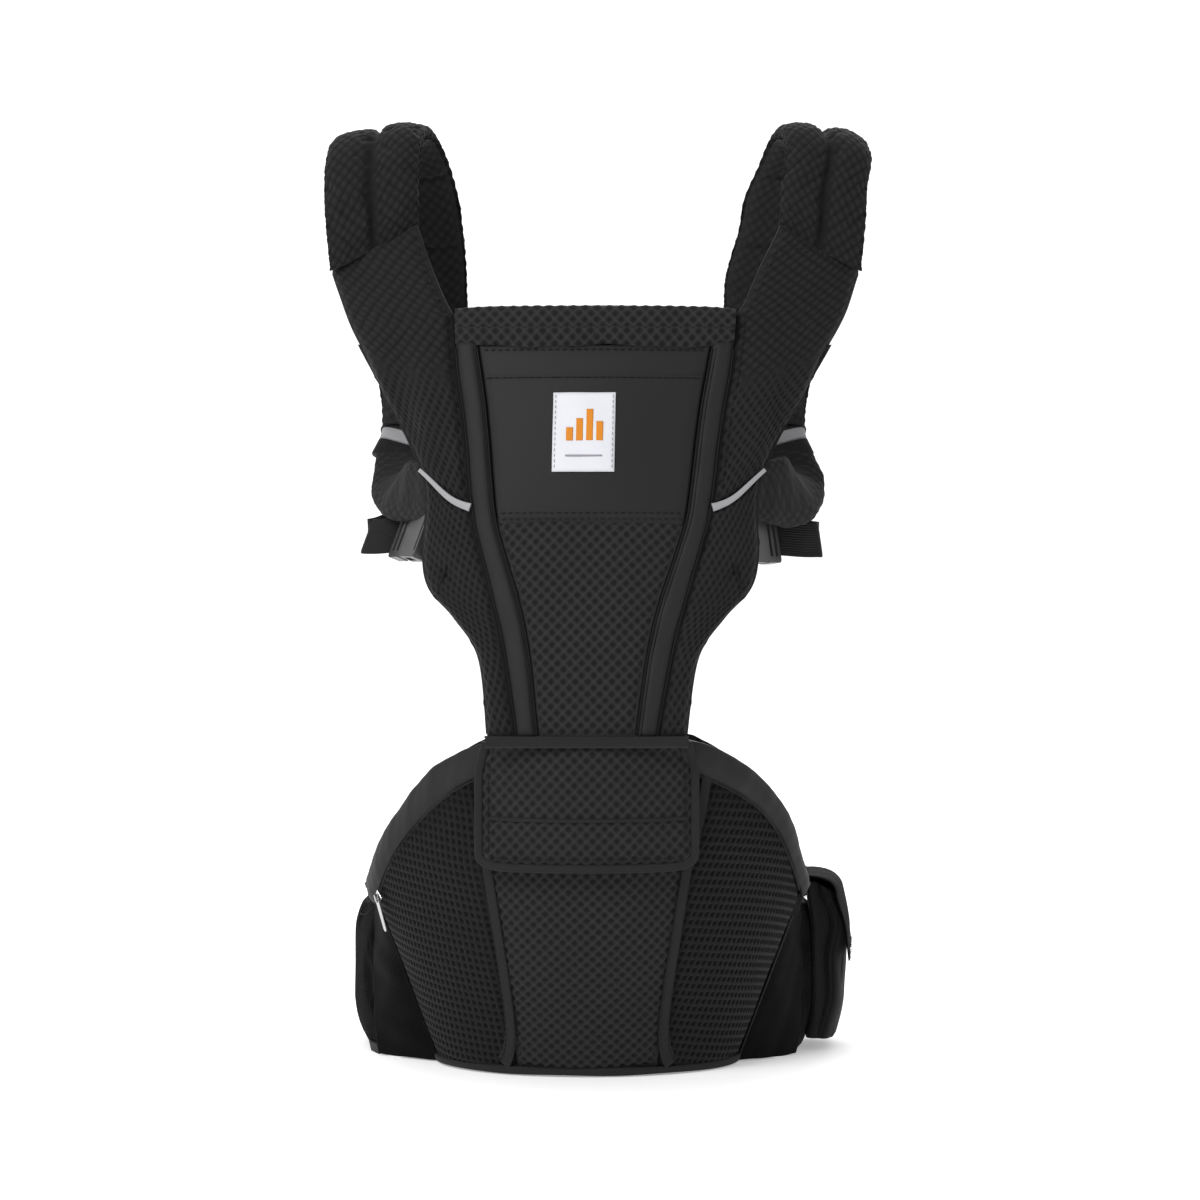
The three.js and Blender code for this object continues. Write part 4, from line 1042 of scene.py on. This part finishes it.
def makeStraps():
    for name, side in (("left", -1), ("right", 1)):
        path, across, out, t = carried(strapKnots, 120, strapRoll, side, square=False)
        width = through([(0, 0.063), (0.3, 0.064), (0.8, 0.064), (1, 0.050)])(t)
        nu = 72
        angle = ringOf(nu)
        c, s = np.cos(angle), np.sin(angle)
        x = squarer(c, 0.9)
        tube = np.sqrt(np.maximum(1 - (2 * np.abs(x) - 1) ** 2, 0)) ** 0.9
        depth = strap["front"] + strap["groove"] * (tube - 1)
        # the tubes flatten into the seam where they are sewn to the wing, and at their far end
        ends = lerp(0.45, 1, ease(t / 0.05) * ease((1 - t) / 0.05))[None]
        y = np.where(s > 0, -depth * np.abs(s) ** 0.5 * ends, strap["back"] * np.abs(s) ** 0.55 * ends)
        loops = path[None] + across[None] * (x * width / 2)[..., None] + out[None] * y[..., None]
        p = (x * width / 2) + 0 * t
        q = (lengthsAlong(path, 0)[None] + 0 * p)
        bumps = 0.0009 * ripple(p, q, 0.05, 60 + side) + 0.0004 * ripple(p, q, 0.02, 63 + side)
        loops = loops - out[None] * (bumps * (s > 0))[..., None]
        held = (np.abs(x) < 0.10) & (s > 0) | (np.abs(s) < 0.12) | (t[None] < 0.012) | (t[None] > 0.99)
        loops = swell(loops, held, pressure=2.5, slackness=0.012, cap=0.0022)
        loops = refine(refine(loops, 176, 0, True), 330, 1, False)
        fine = ringOf(176) + 0 * np.linspace(0, 1, 330)[None]
        across2 = squarer(np.cos(fine), 0.9)
        front = (np.sin(fine) > 0)
        # painted shade: the strap's colour darkens in the groove down the middle of its front and along both
        # side edges
        crease = 1 - 0.75 * np.exp(-(across2 / 0.11) ** 2) * front - 0.6 * np.exp(-(np.sin(fine) / 0.2) ** 2)
        pad = loftPiece("strapPad_" + name, loops, "strapKnit", "panel", ["strap_pad_" + name], scaleKnit,
                        depth=0.0009, shade=np.clip(crease, 0.1, 1),
                        cover=np.clip(1 - np.exp(-(across2 / 0.06) ** 2), 0, 1))

        # lining on the inner side, quilted across, with a smoother lower part
        def inside(u, v):
            at = v * (len(path) - 1)
            rows = np.arange(len(path))
            read = lambda table: np.stack([np.interp(at, rows, table[:, i]) for i in range(3)], -1)
            w = np.interp(at, rows, width)
            x = lerp(-1, 1, u)
            lift = 0.0066 + 0.0022 * (1 - x ** 4)
            return read(path) + read(across) * (x * w * 0.475)[..., None] + read(out) * lift[..., None]

        def seams(u, v, p, q):
            rows = np.exp(-((q / 0.046 % 1 - 0.5) / 0.035) ** 2)
            return 0.0014 - 0.0022 * rows + 0.0005 * ripple(p, q, 0.03, 71)
        sheetPiece("strapLining_" + name, inside, 0.0013, "lining", "panel", ["strap_lining_" + name],
                   lambda p, q: lerp(scaleKnit(p, q), 1, 0.8 * ease((q - 0.30) / 0.02)), depth=0.0006,
                   roll=0.0018, crown=seams, thick=0.0012, towards=out.mean(0))
        # stitched seam where the tubes meet the wing
        row = path[6] + across[6] * (np.linspace(-0.9, 0.9, 60) * width[6] / 2)[:, None] - out[6] * 0.0075
        stitches("strapSeamStitches_" + name, [(row, -out[6])], "panel", radius=0.0003)

        # reflective end band, ribbed webbing below it, and the padded sleeve of the buckle
        bandRoll = lambda t: np.stack([1 + 0 * t, 0 * t, 0 * t], -1)
        path, across, out, t = carried([(-122.4, 21.4, 429.6), (-127, 14, 420.6)], 24, bandRoll, side)
        loops = ribbonLoops(path, across, out, lerp(0.048, 0.042, t), 0.010, 48)
        loftPiece("strapEndBand_" + name, loops, "reflective", "panel", ["strap_end_band_" + name])
        path, across, out, t = carried([(-121.2, 24.0, 432.5), (-123.6, 19.0, 427.2)], 12, bandRoll, side)
        loftPiece("strapEndBinding_" + name, ribbonLoops(path, across, out, 0.0485, 0.0112, 48), "twill",
                  "panel")
        path, across, out, t = carried([(-127.3, 13.4, 419.9), (-131.5, 6.5, 410.5)], 24, bandRoll, side)
        loops = ribbonLoops(path, across, out, 0.042, 0.0082, 48)
        loftPiece("strapEndCuff_" + name, loops, "webbing", "panel")
        def sleeveRoll(t):
            turn = ease(t / 0.75)
            return np.stack([lerp(1.0, 0.15, turn), 0 * t, turn], -1)
        middle = [(-134, -8, 400), (-134, -40, 390)] if side > 0 else [(-130, -8, 400), (-128, -40, 390)]
        sleeveKnots = [(-129.0, 9.6, 414.5), *middle, (-100, -82, 387)]
        path, across, out, t = carried(sleeveKnots, 90, sleeveRoll, side)
        swellAt = 1 + 0.30 * np.sin(np.pi * t) * (1 if side > 0 else 0.5)
        nu = 40
        loops = ribbonLoops(path, across, out, lerp(0.041 if side > 0 else 0.037, 0.034, t) * swellAt,
                            0.0084 * (swellAt ** 1.8), nu)
        q = (lengthsAlong(path, 0)[None] + 0 * loops[..., 0])
        p = (np.arange(nu) / nu)[:, None] * 0.06 + 0 * q
        loops = loops + unit(loops - path[None]) * (0.0011 * ripple(p, q, 0.022, 81 + side))[..., None]
        loops = refine(refine(loops, 96, 0, True), 130, 1, False)
        sleeve = loftPiece("strapSleeve_" + name, loops, "lining", "panel", ["strap_sleeve_" + name],
                           scaleKnit, depth=0.0005)


makeStraps()
print("straps ready")


# The flap below the panel.

def flapPoint(u, v, out=0.0):
    z = lerp(0.2265, 0.1445, v)
    half = lerp(0.065, 0.070, np.clip(v / 0.25, 0, 1))
    corner = np.clip((v - 0.93) / 0.07, 0, 1)
    x = lerp(-1, 1, u) * (half - 0.004 * corner ** 2)
    h = np.clip(z / 0.229, 0, 1)
    seatY = seatPoint(np.clip(x / lerp(seat["baseHalf"], seat["rimHalf"], h), -0.99, 0.99), h)[..., 1]
    y = np.minimum(seatY - 0.0072, panelPoint(x, 0.229 + 0 * z)[..., 1] + 0.004 + 0.004 * v)
    y = y + 0.0016 * np.sin(np.pi * 1.5 * v) * (1 - 0.3 * u) - 0.0014 * np.sin(np.pi * u)
    return np.stack([x, y - out, z + 0.0016 * np.abs(lerp(-1, 1, u)) ** 6 * v], -1)


def makeFlap():
    cloth = sheetPiece("flapCloth", flapPoint, 0.00105, "waffle", "flap", ["panel_flap"], diamondKnit,
                       depth=0.0009, thick=0.0036, roll=0.0014)
    edge = np.linspace(0.0, 1, 120)
    sides = [flapPoint(0 * edge, edge), flapPoint(edge, 0 * edge + 1), flapPoint(0 * edge + 1, edge[::-1])]
    border = evenly(np.concatenate([sides[0][:-4], sides[1][4:-4], sides[2][4:]]), 300)
    border = refine(border[None], 300, 1, False)[0]
    window = np.ones(9) / 9
    border = np.stack([np.convolve(np.pad(border[:, i], 4, "edge"), window, "valid") for i in range(3)], -1)
    ribbon("flapBinding", border + np.array([0, 0.0014, 0]), np.array([0, -1.0, 0]), 0.0054, 0.0042,
           "binding", "flap", around=20)
    share = np.linspace(0.035, 0.965, 160)
    down = np.linspace(0.05, 0.925, 160)
    places = [(share, 0 * share + 0.925), (0 * share + 0.045, down), (0 * share + 0.955, down),
              (share, 0 * share + 0.625)]
    rows = [flapPoint(across, along, 0.0006) for across, along in places]
    normals = np.array([0, -1.0, 0.1])
    stitches("flapStitches", [(row, normals) for row in rows], "flap", length=0.0036)
    ribbon("flapTuck", flapPoint(share, 0 * share + 0.618, 0.0004), normals, 0.0022, 0.0010, "binding",
           "flap")
    # the hem that joins the flap to the panel
    share = np.linspace(-1, 1, 160)
    hem = panelPoint(share * 0.0655, panel["hem"] + 0 * share)
    ribbon("flapSeam", hem, panelNormals(hem), 0.0016, 0.0022, "binding", "panel", offset=0.0001)
    fold = lambda u, v: np.stack([lerp(-0.0648, 0.0648, u), lerp(-0.1322, -0.1368, v),
                                  lerp(0.2298, 0.2258, v)], -1)
    joint = ("hip_seat", "flap", (0, -0.1322, 0.2305), (0, -0.1368, 0.2258))
    sheetPiece("flapFold", fold, 0.0015, "binding", joint, thick=0.0040)


makeFlap()
print("flap ready")


# The waist belt.

wingKnots = {
    "left": [(-142.5, 36), (-153, 64), (-160, 110), (-149, 163), (-116, 201), (-62, 216), (0, 219.5),
             (42, 218)],
    "right": [(142.5, 36), (151, 64), (155, 110), (146, 164), (114, 207), (62, 228), (12, 233), (-26, 232)],
}


def wingRun(name, count):  # the belt's line in plan, with its outward direction
    path = route([(x * milli, y * milli, 0) for x, y in wingKnots[name]], count)
    tangents = unit(np.gradient(path, axis=0))
    out = np.stack([tangents[:, 1], -tangents[:, 0], 0 * tangents[:, 0]], -1)
    if (out[0, 0] < 0) != (name == "left"):
        out = -out
    return path, out, np.linspace(0, 1, count)


def wingSurface(name, t, z, out):  # a point on the belt's outer face, out in front of it
    path, outward, share = wingRun(name, 400)
    read = lambda table: np.stack([np.interp(t, share, table[:, i]) for i in range(3)], -1)
    place = read(path) + read(outward) * (out - wingCurl(z))[..., None]
    place[..., 2] = z
    return place


def wingCurl(z):  # how far the belt's lower and upper edges turn inwards
    return 0.0060 * np.clip((0.035 - z) / 0.035, 0, 1) ** 1.5 + 0.0035 * ease((z - 0.085) / 0.03)


def wingLow(t):
    return 0.012 * np.clip((t - 0.6) / 0.4, 0, 1) ** 2


def wingHigh(t):  # highest where it leaves the seat, then lower over the hip
    shoulder = 0.010 * np.exp(-(t / 0.035) ** 2) - 0.005 * ease((t - 0.03) / 0.1)
    return 0.107 + shoulder - 0.012 * np.clip((t - 0.35) / 0.65, 0, 1)


def makeBelt():
    for name, side in (("left", -1), ("right", 1)):
        body = "belt_" + name
        path, outward, t = wingRun(name, 130)
        nu = 64
        angle = ringOf(nu)
        c, s = np.cos(angle), np.sin(angle)
        up = squarer(s, 0.9)
        deep = squarer(c, 0.6)
        middle, half = (wingLow(t) + wingHigh(t)) / 2, (wingHigh(t) - wingLow(t)) / 2
        z = middle[None] + up * half[None]
        q = lengthsAlong(path, 0)[None] + 0 * z
        out = deep * 0.0053 * np.clip(ease(np.minimum(t, 1 - t) / 0.02), 0.3, 1)[None]
        out = out + 0.0010 * ripple(z, q, 0.07, 91 + side) * (deep > 0)
        loops = path[None] + outward[None] * (out - wingCurl(z))[..., None]
        loops[..., 2] = z
        held = (np.abs(up) > 0.97) | (t[None] < 0.015) | (t[None] > 0.985)
        loops = swell(loops, held, pressure=2.2, slackness=0.010, cap=0.0014)
        loops = refine(refine(loops, 150, 0, True), 420, 1, False)
        pattern = (lambda p, q: 0.5 + 0.5 * np.cos(2 * np.pi * q / 0.0021)) if side < 0 else flat
        pad = loftPiece("beltWing_" + name, loops, "ribKnit", body, ["belt_wing_" + name], pattern,
                        depth=0.0004)
        share = np.linspace(0.01, 0.985, 500)
        rows = []
        for z in (wingLow(share) + 0.009, wingHigh(share) - 0.009):
            rows.append((wingSurface(name, share, z, 0.0042), wingRow(name, share)))
        stitches("beltStitches_" + name, rows, body, radius=0.0003)

        # the stretch of fabric between the seat's side and the belt
        def gusset(u, v):
            z = lerp(0.0004, 0.1155 if side < 0 else 0.1252, v)
            h = z / rimHeight(0.993)
            inner = seatPoint(side * 0.993 + 0 * h, h, 0.0)
            inner[..., 2] = z
            outer = wingSurface(name, 0.010 + 0 * z, z, 0.0066)
            outer[..., 0] = side * (0.1448 + 0.004 * np.sin(np.pi * v) ** 0.5)
            place = lerp(inner, outer, u[..., None])
            place[..., 1] -= 0.0065 * np.sin(np.pi * u) * (0.4 + 0.6 * np.sin(np.pi * v))
            return place
        sheetPiece("gusset_" + name, gusset, 0.0011, "ribKnit",
                   ("hip_seat", body, (side * 0.104, 0.018, 0.05), (side * 0.1448, 0.040, 0.05)),
                   knit=pattern if side < 0 else flat, depth=0.0003, thick=0.0016,
                   crown=lambda u, v, p, q: 0.0009 * ripple(p, q, 0.03, 97 + side), towards=(side, -1, 0))


def wingRow(name, share):
    _, outward, t = wingRun(name, 400)
    return unit(np.stack([np.interp(share, t, outward[:, i]) for i in range(3)], -1))


makeBelt()
print("belt ready")


def makeBeltParts():
    # hook-and-loop patch, waist webbing and the thin welt along the seat's right side
    patch = lambda u, v: wingSurface("left", lerp(0.84, 0.985, u), lerp(0.022, 0.084, v), 0.0070)
    hooks = lambda p, q: 0.5 + 0.5 * np.sin(2 * np.pi * p / 0.0026) * np.sin(2 * np.pi * q / 0.0026)
    sheetPiece("hookPatch", patch, 0.0012, "webbing", "belt_left", ["hook_patch"], hooks, depth=0.0005,
               thick=0.0012, towards=(0, 1, 0))
    rows = {"left": (0.42, 0.49, 0.56, 0.61), "right": (0.70, 0.76, 0.82)}
    buckle = {"at": np.array([-46, 240.5, 52.0]), "along": unit([0.97, 0.243, 0]), "left": -37, "right": 56}
    for name in ("left", "right"):
        start = wingSurface(name, np.array(rows[name]), 0.052 + 0 * np.array(rows[name]), 0.0072)
        end = (buckle["at"] + buckle["along"] * buckle[name]) * milli
        knots = np.vstack([start, end])
        path = route(knots, 90)
        lead = np.cross(unit(np.gradient(path, axis=0)), np.array([0, 0, 1.0]))
        lead = lead * np.sign(lead[:, 1:2])
        ribbon("waistWebbing_" + name, path, lead, 0.038, 0.0018, "webbing", "belt_" + name,
               ["waist_webbing_" + name], around=24)
    h = np.linspace(0.03, 0.80, 80)
    welt = seatPoint(0.992 + 0 * h, h, 0.0010)
    ribbon("seatWelt", welt, np.array([0.8, -0.6, 0]), 0.0010, 0.0010, "twill", "hip_seat", around=8)
    tab = lambda u, v: wingSurface("left", lerp(0.02, 0.075, u), lerp(-0.0005, 0.0065, v), 0.0064)
    sheetPiece("beltTab", tab, 0.0012, "webbing", "belt_left", thick=0.0016, towards=(-1, -1, 0))

    pouchSpan = (0.061, 0.269)  # from where to where along the wing its flap reaches
    # the pouch on the right wing: one closed shell from its inner floor, over its rim, to its outer floor
    nu, nv = 150, 150
    angle = ringOf(nu)
    c, s = np.cos(angle), np.sin(angle)
    along = squarer(c, 0.45)
    deep = squarer(s, 0.6)
    rise = np.linspace(0, 1, nv)[None]
    inside = rise < 0.5
    climb = np.where(inside, rise / 0.5, (1 - rise) / 0.5)  # 0 at the floors, 1 at the rim
    z = lerp(0.0082, 0.1205, np.clip((climb - 0.10) / 0.90, 0, 1) ** 0.9)
    z = z + np.where(inside, 0.0018 * (1 - climb), 0)
    grow = np.clip(climb / 0.10, 0.02, 1) ** 0.5
    wall = np.where(inside, 0.0020, 0.0)
    sagBelly = 1 - 0.10 * (1 - np.sin(np.pi * np.clip(climb, 0.02, 1)) ** 0.5)
    t = 0.165 + along * (0.104 - wall * 0.5) * grow * lerp(0.97, 1.0, climb)
    # its end walls fold inwards like a bellows, more so near the top
    crease = np.exp(-(deep / 0.5) ** 2) * (np.abs(c) > 0.25) * grow * climb ** 0.5
    t = t - np.sign(c) * crease * 0.030
    taper = lerp(0.80, 1.0, np.sin(np.pi * np.clip(climb, 0.02, 1) * 0.62))
    out = 0.0046 + (0.0128 - wall) * (1 + deep * grow) * np.where(deep > 0, sagBelly * taper, 1)
    rings = 0.0014 * np.sin(2 * np.pi * z / 0.055 + 3 * along) * (np.abs(c) > 0.5)
    folds = 0.0012 * ripple(t * 0.5, z, 0.05, 101) + rings
    out = out + folds * grow * (deep > -0.2) * climb ** 0.3
    z = z - 0.0130 * climb ** 3 * np.clip(out / 0.0300, 0, 1) ** 2.2  # its rim falls away from the belt
    loops = wingSurface("right", t, z + 0 * t, out)
    pouch = loftPiece("pouchBody", loops, "pouchCloth", "belt_right", ["pouch_body"])
    # its flap: a lid that bends down over the front and droops at its corners
    def lid(u, v):
        t = lerp(*pouchSpan, u)
        bend = np.clip(v / 0.36, 0, 1)
        drop = np.clip((v - 0.36) / 0.64, 0, 1)
        out = lerp(0.0045, 0.0300, np.sin(bend * np.pi / 2)) + (0.0058 - 0.003 * np.sin(np.pi * u)) * drop
        droop = 0.004 * np.cos(2 * np.pi * u) * drop
        z = 0.1232 - 0.0130 * bend ** 2.4 - drop * 0.042 - droop
        return wingSurface("right", t, z, out)
    cover = sheetPiece("pouchFlap", lid, 0.0014, "ribKnit", "pouch_lid", ["pouch_flap"], roll=0.0006,
               thick=0.0016, crown=lambda u, v, p, q: 0.0006 * ripple(p, q, 0.04, 103), towards=(1, 0, 1))
    hinge = lambda u, v: wingSurface("right", lerp(0.064, 0.266, u), lerp(0.1080, 0.1236, v), 0.0056 + 0 * v)
    low, high = [hinge(np.array([0.5]), np.array([end]))[0] for end in (0.3, 1.0)]
    sheetPiece("pouchHinge", hinge, 0.0016, "ribKnit", ("belt_right", "pouch_lid", tuple(low), tuple(high)),
               thick=0.0012, towards=(1, 0, 0))
    u = np.linspace(0.03, 0.97, 120)
    line = lid(u, 0 * u + 0.94)
    row = (line, wingRow("right", lerp(*pouchSpan, u)))
    stitches("pouchFlapStitches", [row], "pouch_lid", radius=0.0003)


makeBeltParts()
print("belt parts ready")


# Webbing, buckles and slider.

def makeWebbing():
    folds = [(-6, 1, 1), (4, 0, 0), (14, 1, -1), (21, 3.5, -1), (21, 8.5, -1), (12, 11, 1), (2, 16, 6)]
    buckles = {"left": ((-115.5, -59, 360), (-0.42, 0.9, 0), (0.36, 0.16, 1), -1),
               "right": ((114, -62, 358), (0.5, 0.87, 0), (-0.14, 0.08, 1), 1)}
    for name, (at, along, wide, side) in buckles.items():
        along = unit(along)
        wide = unit(np.array(wide) - along * np.dot(wide, along))
        bar = np.array(at) + 25 * along
        reach = 1.35 if side > 0 else 1.0
        knots = [bar + np.array([x * side * reach, y, z]) for x, y, z in folds]
        path = route(np.array(knots) * milli, 120)
        tangents = unit(np.gradient(path, axis=0))
        out = unit(np.cross(tangents, wide + 0 * tangents))
        across = unit(np.cross(out, tangents))
        loops = ribbonLoops(path, across, out, 0.024, 0.0018, 24)
        loftPiece("strapWebbing_" + name, loops, "webbing", "shoulder_plug_" + name,
                  ["strap_webbing_" + name])


def hardPiece(node, look, body):  # a rounded copy of a hard part
    source = bpy.data.objects[node]
    mesh = source.data.copy()
    obj = bpy.data.objects.new("moulded_" + node, mesh)
    bpy.context.scene.collection.objects.link(obj)
    shape = bmesh.new()
    shape.from_mesh(mesh)
    bmesh.ops.remove_doubles(shape, verts=shape.verts, dist=0.00001)
    bmesh.ops.dissolve_limit(shape, angle_limit=0.02, verts=shape.verts, edges=shape.edges)
    shape.to_mesh(mesh)
    shape.free()
    mesh.materials.clear()
    bevel = obj.modifiers.new("rounded", "BEVEL")
    bevel.width = 0.0006
    bevel.segments = 2
    bevel.limit_method = "ANGLE"
    bevel.angle_limit = 0.6
    bevel.harden_normals = True
    return finishPiece(obj, look, body, [node])


def makeHardware():
    acetal = {"panel": ["shoulder_buckle_left_socket", "shoulder_buckle_right_socket"],
              "shoulder_plug_left": ["shoulder_buckle_left_plug"],
              "shoulder_plug_right": ["shoulder_buckle_right_plug"],
              "belt_left": ["waist_buckle_socket"], "waist_plug": ["waist_buckle_plug"],
              "waist_prong_a": ["waist_buckle_prong_a"], "waist_prong_b": ["waist_buckle_prong_b"],
              "sternum_plug": ["sternum_buckle_plug"], "sternum_strap": ["sternum_buckle_socket"]}
    for side in ("left", "right"):
        for prong in "ab":
            acetal["shoulder_prong_%s_%s" % (side, prong)] = ["shoulder_buckle_%s_prong_%s" % (side, prong)]
    for body, nodes in acetal.items():
        for node in nodes:
            hardPiece(node, "acetal", body)
    hardPiece("zip_slider", "chrome", "slider")
    hardPiece("zip_pull", "chrome", "pull")
    for node in ("sternum_strap_left", "sternum_strap_right"):
        source = bpy.data.objects[node]
        source.data.materials.clear()
        source.data.materials.append(looks["webbing"])


makeWebbing()
makeHardware()
print("hardware ready")
